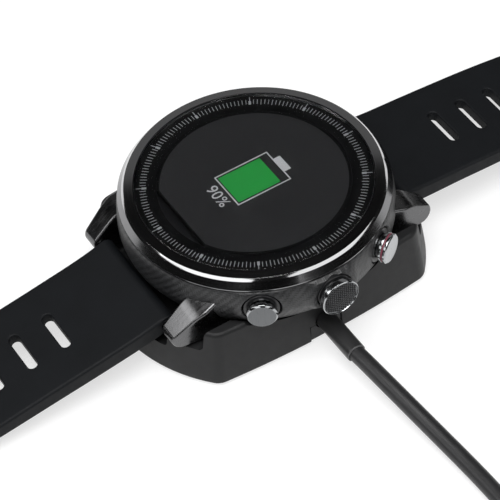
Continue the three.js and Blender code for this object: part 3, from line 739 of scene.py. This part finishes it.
# ---------- bezel, glass and dial ----------
def make_bezel():
    """A turned steel ring: satin top, polished chamfer, black side, and a step down to the glass."""
    profile = closed_profile([(19.6, 18.6), (23.45, 18.6), (23.45, 18.85), (22.6, 20.1), (22.2, 20.55),
                              (20.6, 20.79), (20.6, 19.0), (19.6, 19.0)],
                             [0.08, 0.06, 0.05, 0.03, 0.02, 0.1, 0.05])
    mesh = turned_mesh("bezel", profile, 256, True)
    bezel = show("bezel", mesh, "watch", "bezel chamfer bezel_side sleeve", 22)
    for face in mesh.polygons:
        z, lean = face.center.z / MM, face.normal.z
        r = math.hypot(face.center.x, face.center.y) / MM
        if r < 20.62:
            face.material_index = 3
        elif r > 22.55 and lean < 0.75:
            face.material_index = 2
        elif r > 22.2 and z > 20.0:
            face.material_index = 1
    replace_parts(bezel, "bezel_ring")


def make_glass_piece():
    top, low, r = GLASS_TOP, GLASS_BOTTOM, GLASS_R
    profile = rounded([(0, low), (r - 0.05, low), (r, low + 0.05), (r, top - 0.06), (r - 0.06, top),
                       (0, top)], [0.02, 0.02, 0.03, 0.03], 3)
    glass = show("watch_glass", turned_mesh("watch_glass", profile, 256), "watch", "glass", 25)
    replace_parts(glass, "cover_glass")


def tick(number, r0, r1, half):
    """A thin bar on the dial from r0 to r1, at its place round the dial."""
    mesh = box_mesh("tick", -half, half, r0, r1, DIAL_Z, DIAL_Z + 0.035)
    return placed(mesh, Matrix.Rotation(-2 * PI * number / TICKS, 4, "Z"))


def make_minute_ring():
    profile = closed_profile([(RING_IN, RING_LOW), (GLASS_R, RING_LOW), (GLASS_R, DIAL_Z),
                              (RING_IN, DIAL_Z)], [0.05, 0.05, 0.02])
    ring = show("dial_ring", turned_mesh("dial_ring", profile, 192, True), "watch", "dial")
    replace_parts(ring, "minute_ring")
    ticks = []
    for i in range(TICKS):
        if i % MAJOR == 0:
            ticks += [tick(i, 18.3, 19.1, 0.22), tick(i, 19.1, 20.1, 0.06)]
        else:
            ticks.append(tick(i, 18.25 if i % 3 == 0 else 18.4, 19.45, 0.052))
    # the marks glow through their material: painted light
    show("dial_marks", joined("dial_marks", ticks), "watch", "mark")


def flat_disc(name, size, low, high):
    """A disc of the given (radius, distance to its flat lower edge)."""
    radius, flat_at = size
    flat = math.degrees(math.asin(-flat_at / radius))
    return prism_mesh(name, arc(0, 0, radius, flat, 180 - flat, 160), low, high)


def make_display():
    """The dark screen, flat at its lower edge, its lit area, and the charging picture drawn on it."""
    panel = bevelled(flat_disc("display", PANEL, 18.9, DIAL_Z), 0.05)
    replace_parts(show("display", panel, "watch", "screen", 35), "display_panel")
    lit = flat_disc("lit", LIT_AREA, DIAL_Z + 0.001, DIAL_Z + 0.01)
    show("display_lit_area", lit, "watch", "screen_lit")

    def bar(x0, x1, y0, y1):
        return box_mesh("bar", x0, x1, y0, y1, DIAL_Z + 0.012, DIAL_Z + 0.035)

    left, right, low, high, line = -4.5, 3.3, -5.2, 5.4, 0.22
    outline = [bar(left, left + line, low, high), bar(right - line, right, low, high),
               bar(left, right, low, low + line), bar(left, right, high - line, high),
               bar(-2.4, 1.2, high, high + 1.3)]
    battery = joined("battery_outline", outline + [reading()])
    show("battery_outline", battery, "watch", "icon_line")
    show("battery_charge", bar(-3.95, 2.75, -4.75, 3.6), "watch", "icon_green")


def reading():
    """The charge as a number, in Blender's own plain font."""
    text = bpy.data.curves.new("reading", "FONT")
    text.body = "90%"
    text.size = 2.95 * MM
    text.align_x = "CENTER"
    text.align_y = "CENTER"
    text.extrude = 0.01 * MM
    text.space_character = 1.08
    return placed(bake(in_scene("reading", text)), moved(-0.5, -6.95, DIAL_Z + 0.023))


# ---------- case and lugs ----------
CASE_WALL = [
    (21.5, CASE_BOTTOM), (22.6, 10.4), (23.45, 11.9), (CASE_R, 13.6), (CASE_R, 15.6), (23.75, 17.2),
    (23.45, CASE_TOP),
]


def swell(angle, z, r):
    """How far the case wall stands out round the buttons, at a place on it."""
    out = 0.0
    band, slope, squash = 0.75, 1.9, 1.15  # level band round a well, the slope beyond, its flattening
    for b in BUTTONS.values():
        arc_gap = (angle - math.radians(b["angle"]) + PI) % (2 * PI) - PI
        gap = math.hypot(arc_gap * r, (z - BUTTON_Z) * squash)
        rise = b["sleeve_end"] + 0.05 - CASE_R * math.cos(min(0.25, abs(arc_gap)))
        t = max(0.0, min(1.0, (b["sleeve_r"] + band + slope - gap) / slope))
        out = max(out, rise * t * t * (3 - 2 * t))
    return out


def make_case():
    """The carbon case: a softened wall that swells round each button's well."""
    wall = []
    for (r0, z0), (r1, z1) in zip(CASE_WALL, CASE_WALL[1:]):
        steps = max(2, round(math.hypot(r1 - r0, z1 - z0) / 0.35))
        wall += [(r0 + (r1 - r0) * i / steps, z0 + (z1 - z0) * i / steps) for i in range(steps)]
    wall.append(CASE_WALL[-1])
    softened = [((a[0] + 2 * b[0] + c[0]) / 4, (a[1] + 2 * b[1] + c[1]) / 4)
                for a, b, c in zip(wall, wall[1:], wall[2:])]
    inner = [(CASE_BORE_R, CASE_TOP), (CASE_BORE_R, 10.6), (18.2, 10.6), (18.2, CASE_BOTTOM),
             (21.4, CASE_BOTTOM)]
    profile = [wall[0], *softened, (23.36, 18.26), (23.28, CASE_TOP), *inner]
    mesh = turned_mesh("case", profile, 540, True)
    for v in mesh.vertices:
        r = math.hypot(v.co.x, v.co.y) / MM
        z = v.co.z / MM
        if r > 21.45 and 9.5 < z < 18.25:
            more = swell(math.atan2(v.co.y, v.co.x), z, r)
            v.co.x *= (r + more) / r
            v.co.y *= (r + more) / r
    for b in BUTTONS.values():
        r, lip = b["sleeve_r"] + 0.1, b["sleeve_end"]
        well = turned_mesh("well", [(0, 19), (r, 19), (r, lip - 0.35), (r + 0.12, lip - 0.1),
                                    (r + 0.35, lip + 0.15), (r + 0.8, 30), (0, 30)], 64)
        mesh = cut(mesh, at_rim(well, b["angle"]))
    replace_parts(show("case", mesh, "watch", "carbon", 32), "mid_case")


def lug_mesh(sx, sy):
    """One horn: its top curves down from the case and leans outwards, and it narrows to a round tip."""
    tip = arc(24.2, 9.85, 1.85, 40, -90, 12)
    top = rounded([(12.5, 15.7), (17.0, 15.7), (21.3, 14.3), tip[0]], [4.0, 9.0], 6)
    loop = [(12.5, CASE_BOTTOM), *top, *tip[1:], (18, 8.0)]
    ends = sorted((sx * LUG_IN, sx * LUG_OUT))
    mesh = soft_prism("lug", [(sy * y, z) for y, z in loop], *ends, 0.4, axis="x")
    for v in mesh.vertices:
        high = min(max((v.co.z / MM - 10.0) / 4.0, 0.0), 1.0)
        v.co.z += high * LUG_LEAN * (LUG_OUT * MM - abs(v.co.x))
        if abs(v.co.x) > (LUG_OUT - 0.6) * MM:
            y = abs(v.co.y) / MM
            v.co.x += sx * MM * min(max((y - 17.0) / 3.0, 0.0) * 0.4, 0.4 - (y - 20.0) * 0.22)
    return cut(mesh, turned_mesh("bore", [(0, 5), (21.3, 5), (21.3, 30), (0, 30)], 96),
               rod_mesh("hole", 0.95, *sorted((sx * 5, sx * 13.8)), sy * BAR_Y, BAR_Z, 40))


def make_lugs():
    """Four brushed steel horns that hold the strap bars."""
    for sx, x_side in ((-1, "left"), (1, "right")):
        for sy, hour in ((-1, 6), (1, 12)):
            show(f"lug_{x_side}_{hour}", lug_mesh(sx, sy), "watch", "lug")


# ---------- buttons ----------
def make_button(name):
    """A push piece with its own rim and face, and the sleeve that guides it."""
    b = BUTTONS[name]
    neck = b["sleeve_r"] - 1.1
    back, face, r = b["face"] - b["cap"], b["face"], b["cap_r"]
    stem = [(0, 21.1), (neck, 21.1), (neck, back), (r - 0.1, back), (r, back + 0.12)]
    if name == "upper":
        cap = [(r, 24.72), (2.15, 24.72), (2.15, 25.08), (r, 25.08), (r, face - 0.22), (r - 0.25, face),
               (0, face)]
        radii = [0.08, 0.1, 0.05, 0.1, 0.06, 0.03, 0.03, 0.06, 0.12, 0.12]
    elif name == "middle":
        cap = [(r, face - 0.16), (r - 0.14, face), (r - 0.2, face), (r - 0.26, face - 0.2), (0, face - 0.2)]
        radii = [0.08, 0.1, 0.05, 0.08, 0.08, 0.03, 0.03, 0.04]
    else:
        cap = [(r, face - 0.28), (r - 0.28, face), (0, face)]
        radii = [0.08, 0.1, 0.05, 0.08, 0.12, 0.12]
    mesh = at_rim(turned_mesh(f"{name}_push", rounded(stem + cap, radii, 3), 96), b["angle"])
    materials = "polished upper_face" if name == "upper" else "polished button_face"
    button = show(f"{name}_push", mesh, f"{name}_button", materials, 28)
    towards = Matrix.Rotation(math.radians(b["angle"]), 3, "Z") @ Vector((1, 0, 0))
    for f in mesh.polygons:
        if f.normal.dot(towards) > 0.93 and f.center.dot(towards) > (face - 0.4) * MM:
            f.material_index = 1
    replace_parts(button, f"{name}_button")

    inner, outer, end = neck + 0.15, b["sleeve_r"], b["sleeve_end"]
    profile = closed_profile([(inner, 20.9), (outer, 20.9), (outer, end), (inner, end)], [0.1, 0.25, 0.12])
    mesh = at_rim(turned_mesh(f"{name}_sleeve", profile, 72, True), b["angle"])
    sleeve = show(f"{name}_sleeve", mesh, "watch", "sleeve")
    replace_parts(sleeve, f"{name}_button_sleeve")


def make_knurl():
    """The raised grip on the middle button's face: small six-sided studs, row by row."""
    b = BUTTONS["middle"]
    base, pitch, size = b["face"] - 0.24, 0.46, 0.19
    studs = []
    for row in range(-8, 9):
        for col in range(-8, 9):
            x, y = (col + (row % 2) / 2) * pitch, row * pitch * 0.866
            if math.hypot(x, y) <= b["cap_r"] - 0.46:
                levels = ((size, base), (size, base + 0.1), (size * 0.6, base + 0.2))
                rings = [along_axis(arc(x, y, r, 30, 390, 6)[:-1], z, "z") for r, z in levels]
                studs.append(loft("stud", rings))
    mesh = at_rim(joined("middle_grip", studs), b["angle"])
    show("middle_grip", mesh, "middle_button", "knurl")


def make_accent():
    profile = closed_profile([(2.25, 24.77), (2.58, 24.77), (2.58, 25.03), (2.25, 25.03)],
                             [0.05, 0.05, 0.03], 2)
    mesh = at_rim(turned_mesh("upper_ring", profile, 96, True), BUTTONS["upper"]["angle"])
    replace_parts(show("upper_ring", mesh, "upper_button", "accent"), "upper_button_accent")


# ---------- straps ----------
def strap_line(line, side, gap=0.6):
    """Even steps along a strap's middle: (point, up direction, thickness, width)."""
    spots = [Vector((0, side * y, z)) for y, z, _ in line]
    ghost = [spots[0] * 2 - spots[1]] + spots + [spots[-1] * 2 - spots[-2]]

    def blend(a, b, ta, tb, t):
        return a * ((tb - t) / (tb - ta)) + b * ((t - ta) / (tb - ta))

    # a centripetal Catmull-Rom curve through the spots, in fine steps
    fine = []
    for four in zip(ghost, ghost[1:], ghost[2:], ghost[3:]):
        t = [0.0]
        for a, b in zip(four, four[1:]):
            t.append(t[-1] + math.sqrt((b - a).length))
        for i in range(60):
            now = t[1] + (t[2] - t[1]) * i / 60
            a = [blend(four[k], four[k + 1], t[k], t[k + 1], now) for k in range(3)]
            b = [blend(a[k], a[k + 1], t[k], t[k + 2], now) for k in range(2)]
            fine.append(blend(b[0], b[1], t[1], t[2], now))
    fine.append(spots[-1])
    run = [0.0]
    for a, b in zip(fine, fine[1:]):
        run.append(run[-1] + (b - a).length)
    count = math.ceil(run[-1] / gap)
    near, far = line[0][0], line[-1][0]
    out, k = [], 0
    for i in range(count + 1):
        want = run[-1] * i / count
        while k < len(run) - 2 and run[k + 1] < want:
            k += 1
        p = fine[k].lerp(fine[k + 1], (want - run[k]) / (run[k + 1] - run[k]))
        along = (fine[k + 1] - fine[k]).normalized()
        up = Vector((0, -along.z * side, along.y * side))
        y = abs(p.y)
        m = max(1, next((j for j, q in enumerate(line) if q[0] >= y - 1e-6), len(line) - 1))
        (ya, _, ta), (yb, _, tb) = line[m - 1], line[m]
        thick = ta + (tb - ta) * max(0.0, min(1.0, (y - ya) / (yb - ya)))
        out.append((p, up, thick, STRAP_W + (STRAP_END_W - STRAP_W) * (y - near) / (far - near)))
    return out


def strap_section(wide, thick, rim=0.55, steps=4):
    """A flat band's outline with rounded rims, and points along its upper face."""
    ring = rounded_rect(wide, thick, rim, steps)
    upper = [((wide / 2 - rim) * k / 6, thick / 2) for k in range(5, -6, -1)]
    return ring[:steps + 1] + upper + ring[steps + 1:]


def strap_mesh(name, path, round_tip=None):
    """A band along a path. A round tip is given as where it starts and how long it is."""
    rings = []
    for p, up, thick, wide in path:
        if round_tip and abs(p.y) > round_tip[0]:
            reach = min(1.0, (abs(p.y) - round_tip[0]) / round_tip[1])
            wide = max(2.4, wide * math.sqrt(1 - reach ** 2))
        rings.append([Vector((x, p.y, p.z)) + up * h for x, h in strap_section(wide, thick)])
    return loft(name, rings)


def at_distance(path, y):
    """The strap's middle point, up direction and thickness at a distance from the watch's axis."""
    return min(path, key=lambda s: abs(abs(s[0].y) - y))


def hollow(path, near, far):
    """The space cut from a strap's underside so that only a thin web stays round its slots."""
    return strap_mesh("hollow", [(p - up * thick / 2, up, 2 * (thick - WEB), HOLLOW_W)
                                 for p, up, thick, _ in path if near <= abs(p.y) <= far])


def slot_cutter(path, y):
    """A stadium-shaped hole through the strap, its rims eased outwards above and below."""
    p, up, thick, _ = at_distance(path, y)
    along = Vector((0, up.z, -up.y))
    half, ease = thick / 2, 0.28
    levels = [(-half - 0.5, ease)] + [(-half + ease * (1 - math.cos(a)), ease * (1 - math.sin(a)))
                                      for a in (0.0, 0.5, 1.0, PI / 2)]
    levels += [(-h, grow) for h, grow in reversed(levels)]
    rings = []
    for h, grow in levels:
        ring = rounded_rect(SLOT_LONG + 2 * grow, SLOT_WIDE + 2 * grow, SLOT_WIDE / 2 + grow - 0.01, 10)
        rings.append([Vector((x, p.y, p.z)) + along * v + up * h for x, v in ring])
    return loft("slot", rings)


def with_slots(mesh, path, slots):
    """The strap with its slots cut, all in one go."""
    cutters = [slot_cutter(path, slots["first"] + i * slots["pitch"]) for i in range(slots["count"])]
    return cut(mesh, joined("slots", cutters))


def eye_tube(y, z, radius, x0, x1):
    """The tube at a strap's end that closes round its bar."""
    profile = closed_profile([(1.0, x0), (radius, x0), (radius, x1), (1.0, x1)], [0.35, 0.35, 0.05], 4)
    return along_x(turned_mesh("tube", profile, 64, True), y, z)


def make_straps():
    bar_hole, half = 1.05, STRAP_W / 2
    six = strap_line(HOLE_STRAP, -1)
    mesh = with_slots(strap_mesh("strap_6_band", six, HOLE_TIP), six, HOLE_SLOTS)
    mesh = cut(mesh, hollow(six, *HOLE_HOLLOW), rod_mesh("hole", bar_hole, -20, 20, -BAR_Y, BAR_Z, 40))
    mesh = joined("strap", [mesh, eye_tube(-BAR_Y, BAR_Z, 1.75, -half, half)])
    strap = show("strap_6_band", mesh, "strap_6", "silicone", 32)
    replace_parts(strap, "strap_hole_side")

    twelve = strap_line(BUCKLE_STRAP, 1)
    mesh = with_slots(strap_mesh("strap_12_band", twelve), twelve, BUCKLE_SLOTS)
    notch, edge = TONGUE_W / 2 + 0.4, STRAP_END_W / 2
    mesh = cut(mesh, hollow(twelve, *BUCKLE_HOLLOW), box_mesh("notch", -notch, notch, 87.2, 95, -5, 10),
               rod_mesh("hole", bar_hole, -20, 20, BAR_Y, BAR_Z, 40),
               rod_mesh("hole", bar_hole, -20, 20, PIN_Y, PIN_Z, 40))
    mesh = joined("strap", [mesh, eye_tube(BAR_Y, BAR_Z, 1.75, -half, half),
                            eye_tube(PIN_Y, PIN_Z, 1.8, -edge, -notch),
                            eye_tube(PIN_Y, PIN_Z, 1.8, notch, edge)])
    strap = show("strap_12_band", mesh, "strap_12", "silicone", 32)
    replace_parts(strap, "strap_buckle_side")
    for name, (y, body) in KEEPERS.items():
        make_keeper(name, body, twelve, y)


def make_keeper(name, body, path, y):
    """A rubber loop: a rounded band swept round the strap."""
    p, up, _, _ = at_distance(path, y)
    along = Vector((0, up.z, -up.y))
    outer = rounded_rect(24.4, 8.3, 1.6, 8)
    inner = rounded_rect(21.8, 5.9, 0.8, 8)
    rows = [(-3.0, 0.35), (-2.9, 0.1), (-2.6, 0.0), (0, 0.0), (2.6, 0.0), (2.9, 0.1), (3.0, 0.35)]
    loops = [(outer, s, inset) for s, inset in rows]
    loops += [(inner, s, -inset * 0.6) for s, inset in reversed(rows)]
    rings = [[Vector((x - math.copysign(inset, x), p.y, p.z)) + up * (h - math.copysign(inset, h) + 1.25)
              + along * s for x, h in ring] for ring, s, inset in loops]
    piece = show(f"{name}_loop", loft(f"{name}_loop", rings, True), body, "silicone", 40)
    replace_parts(piece, name)


# ---------- buckle ----------
def make_buckle():
    pin_hole = rod_mesh("hole", 0.9, -20, 20, PIN_Y, PIN_Z, 40)
    side = [(87.7, 1.2), (88.2, 0.8), (104.5, 0.15), (106.3, 0.6), (106.3, 2.3), (104.5, 2.75), (91, 3.5),
            (88.6, 3.3), (87.7, 2.6)]
    plan = [(-13.4, 87), (13.4, 87)] + arc(10.4, 103.4, 3, 0, 90, 12) + arc(-10.4, 103.4, 3, 90, 180, 12)
    mesh = common(prism_mesh("side", side, -14, 14, axis="x"), prism_mesh("plan", plan, -1, 5))
    window = [(-11.1, 80), (11.1, 80)] + arc(9.9, 101.4, 1.2, 0, 90, 8) + arc(-9.9, 101.4, 1.2, 90, 180, 8)
    mesh = bevelled(cut(mesh, prism_mesh("window", window, -1, 6)), 0.4, 30, 4)
    mesh = cut(mesh, box_mesh("seat", -2.6, 2.6, 103.6, 107, 2.35, 4), pin_hole)
    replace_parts(show("buckle_loop", mesh, "buckle", "buckle", 32), "buckle_frame")

    blade = [(90, 0.9), (92, 1.3), (97, 1.9), (101.5, 3.0), (105.6, 3.05), (105.6, 3.7), (101, 4.1),
             (96, 3.4), (91, 3.3), (90, 3.3)]
    half, tip_r = TONGUE_W / 2, 2.2
    plan = [(-half, 88), (half, 88), (half, 98), *arc(half - tip_r, 103.4, tip_r, 0, 90, 8),
            *arc(tip_r - half, 103.4, tip_r, 90, 180, 8), (-half, 98)]
    mesh = common(prism_mesh("blade", blade, -half, half, axis="x"), prism_mesh("plan", plan, -1, 6))
    knuckle = rounded([(0, -half), (1.5, -half), (1.5, half), (0, half)], 0.2, 3)
    knuckle = turned_mesh("knuckle", knuckle, 56)
    mesh = bevelled(boolean(mesh, along_x(knuckle, PIN_Y, PIN_Z), "UNION"), 0.22, 40, 3)
    tongue = show("tongue_blade", cut(mesh, pin_hole), "tongue", "buckle", 32)
    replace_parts(tongue, "buckle_tongue")


def make_bars():
    """Spring bars and the buckle's pin: a tube with a groove near each end and thinner tips."""
    for name, y, z, half in (("spring_bar_6", -BAR_Y, BAR_Z, 13.4), ("spring_bar_12", BAR_Y, BAR_Z, 13.4),
                             ("buckle_pin", PIN_Y, PIN_Z, 13.2)):
        rides = next(b for b, nodes in frame["record"]["behaviour"]["bodies"].items() if name in nodes)
        right = [(0, half), (0.5, half), (0.6, half - 0.15), (0.6, half - 1.5), (0.75, half - 1.7),
                 (0.75, half - 3.0), (0.6, half - 3.15), (0.6, half - 3.5), (0.75, half - 3.65)]
        profile = right + [(r, -x) for r, x in reversed(right)]
        mesh = along_x(turned_mesh(f"{name}_tube", profile, 48), y, z)
        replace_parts(show(f"{name}_tube", mesh, rides, "polished"), name)


# ---------- dock ----------
def dock_plan(inset):
    """The dock's outline, set inwards: two ends on one circle, two bowed sides, rounded corners."""
    end_r, side_x, side_r, corner = DOCK_PLAN
    centre = side_r - side_x
    x = ((side_r - corner) ** 2 - (end_r - corner) ** 2 - centre ** 2) / (2 * centre)
    y = math.sqrt((end_r - corner) ** 2 - x ** 2)
    low, high = math.degrees(math.atan2(y, x + centre)), math.degrees(math.atan2(y, x))
    r = corner - inset
    outline = []
    for turn in (0, 180):
        sign = 1 if turn == 0 else -1
        outline += arc(sign * x, sign * y, r, turn + low, turn + high, 12)
        outline += arc(0, 0, end_r - inset, turn + high, turn + 180 - high, 28)[1:-1]
        outline += arc(-sign * x, sign * y, r, turn + 180 - high, turn + 180 - low, 12)
        outline += arc(sign * centre, 0, side_r - inset, turn + 180 - low, turn + 180 + low, 16)[1:-1]
    return outline


def channel(half, floor, y0, y1):
    """A groove through the dock's wall with rounded lower corners."""
    r = 0.8
    outline = [(-half, 15), *arc(r - half, floor + r, r, 180, 270, 6),
               *arc(half - r, floor + r, r, 270, 360, 6), (half, 15)]
    return prism_mesh("channel", outline, *sorted((y0, y1)), axis="y")


def make_dock():
    """The dock's shell, narrowing upwards and seating the watch, and the collar round its cable."""
    b = DOCK_BASE
    levels = [(b, 0.35), (b + 0.1, 0.1), (b + 0.35, 0.0), (4.0, 0.0), (8.0, 0.0), (DOCK_TOP - 0.7, 0.0),
              (DOCK_TOP - 0.42, 0.06), (DOCK_TOP - 0.2, 0.2), (DOCK_TOP - 0.05, 0.42), (DOCK_TOP, 0.7)]
    rings = []
    for z, inset in levels:
        k = 1 - DOCK_DRAFT * z / DOCK_TOP
        rings.append([(x * k, y * k, z) for x, y in dock_plan(inset)])
    seat = [(6.5, 5.9), (9, 5.85), (15, 6.4), (19.5, 7.8), (21.5, 9.4), (22.6, 10.4), (23.45, 11.9)]
    seat = [(0, 4.65), (6.3, 4.65), *((r + 0.35, z - 0.35) for r, z in seat), (24.35, 13), (0, 13)]
    mesh = cut(loft("dock_body", rings), turned_mesh("seat", seat, 160))
    for side in (-1, 1):
        mesh = cut(mesh, channel(11.7, 5.8, side * 17, side * 35),
                   channel(17.4, 7.6, side * 13.5, side * 35))
    mesh = cut(mesh, prism_mesh("cavity", dock_plan(2.4), 0, 3.4),
               box_mesh("port", 17, 25, -3.2, 3.2, 0, COLLAR_TOP + 0.15),
               rod_mesh("port", 2.0, 17, 25, 0, PORT_Z, 56))
    for button in BUTTONS.values():
        r = button["sleeve_r"] + 1.3
        gap = turned_mesh("gap", [(0, 19), (r, 19), (r, 27), (0, 27)], 64)
        mesh = cut(mesh, at_rim(gap, button["angle"]))
    for x in PINS_X:
        hole = turned_mesh("hole", [(0, 2), (1.05, 2), (1.05, 8), (0, 8)], 32)
        mesh = cut(mesh, placed(hole, moved(x, PINS_Y, 0)))
    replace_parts(show("dock_body", mesh, "dock", "dock"), "dock_shell")

    collar = bevelled(box_mesh("collar", 17.3, 20.85, -3.05, 3.05, DOCK_BASE, COLLAR_TOP), 0.15, 40, 2)
    collar = cut(collar, rod_mesh("bore", 2.05, 18.3, 25, 0, PORT_Z, 56))
    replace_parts(show("dock_collar", collar, "dock", "dock", 35), "dock_cable_collar")


make_bezel()
make_glass_piece()
make_minute_ring()
make_display()
make_case()
make_lugs()
for button_name in BUTTONS:
    make_button(button_name)
make_knurl()
make_accent()
make_straps()
make_buckle()
make_bars()
make_dock()


# ---------- floor and light ----------
def make_floor():
    """A pale, slightly mottled floor that gives some light of its own, to look white."""
    half = FLOOR_HALF
    corners = [(-half, -half, 0), (half, -half, 0), (half, half, 0), (-half, half, 0)]
    floor = in_scene("floor", from_data("floor", corners, [(0, 1, 2, 3)]))
    n = Nodes("floor_pale", (0.37, 0.37, 0.37), 0.75, Emission_Color=(1, 1, 1, 1), Emission_Strength=0.66)
    mottle = n.noise(n.place((10.0, 10.0, 10.0)), 3.0)
    n.plug(n.mix(mottle, (0.36, 0.36, 0.36), (0.38, 0.38, 0.38)), "Base Color")
    floor.data.materials.append(n.mat)


def area_light(name, azimuth, elevation, distance, width, height, radiance):
    """A soft box facing the watch, placed by its direction from the watch, with its brightness as seen."""
    back = direction(azimuth, elevation)
    data = bpy.data.lights.new(name, "AREA")
    data.shape = "RECTANGLE"
    data.size = width
    data.size_y = height
    data.energy = radiance * PI * width * height
    light = in_scene(name, data)
    light.location = back * distance
    light.rotation_mode = "QUATERNION"
    light.rotation_quaternion = back.to_track_quat("Z", "Y")


def make_lights():
    """A dim room with five soft boxes: a large one above, a wide dim one behind the watch for the glass
    and the bezel's far side, one on each side for the chamfer's streaks, and a small one for the lugs."""
    world = bpy.data.worlds.new("studio")
    bpy.context.scene.world = world
    world.use_nodes = True
    back = world.node_tree.nodes["Background"]
    back.inputs["Strength"].default_value = 0.010
    back.inputs["Color"].default_value = (1, 1, 1, 1)
    area_light("key_above", 62, 76, 1.0, 0.7, 0.7, 6.4)
    area_light("far_wall", 242, 30, 1.0, 1.3, 0.49, 0.26)
    area_light("left_box", 14, 36, 0.9, 1.1, 0.30, 1.7)
    area_light("right_box", 124, 33, 0.9, 1.25, 0.34, 1.3)
    area_light("lug_box", 333, 38, 0.9, 0.28, 0.40, 2.95)


make_floor()
make_lights()

bpy.context.scene.view_settings.view_transform = "Standard"
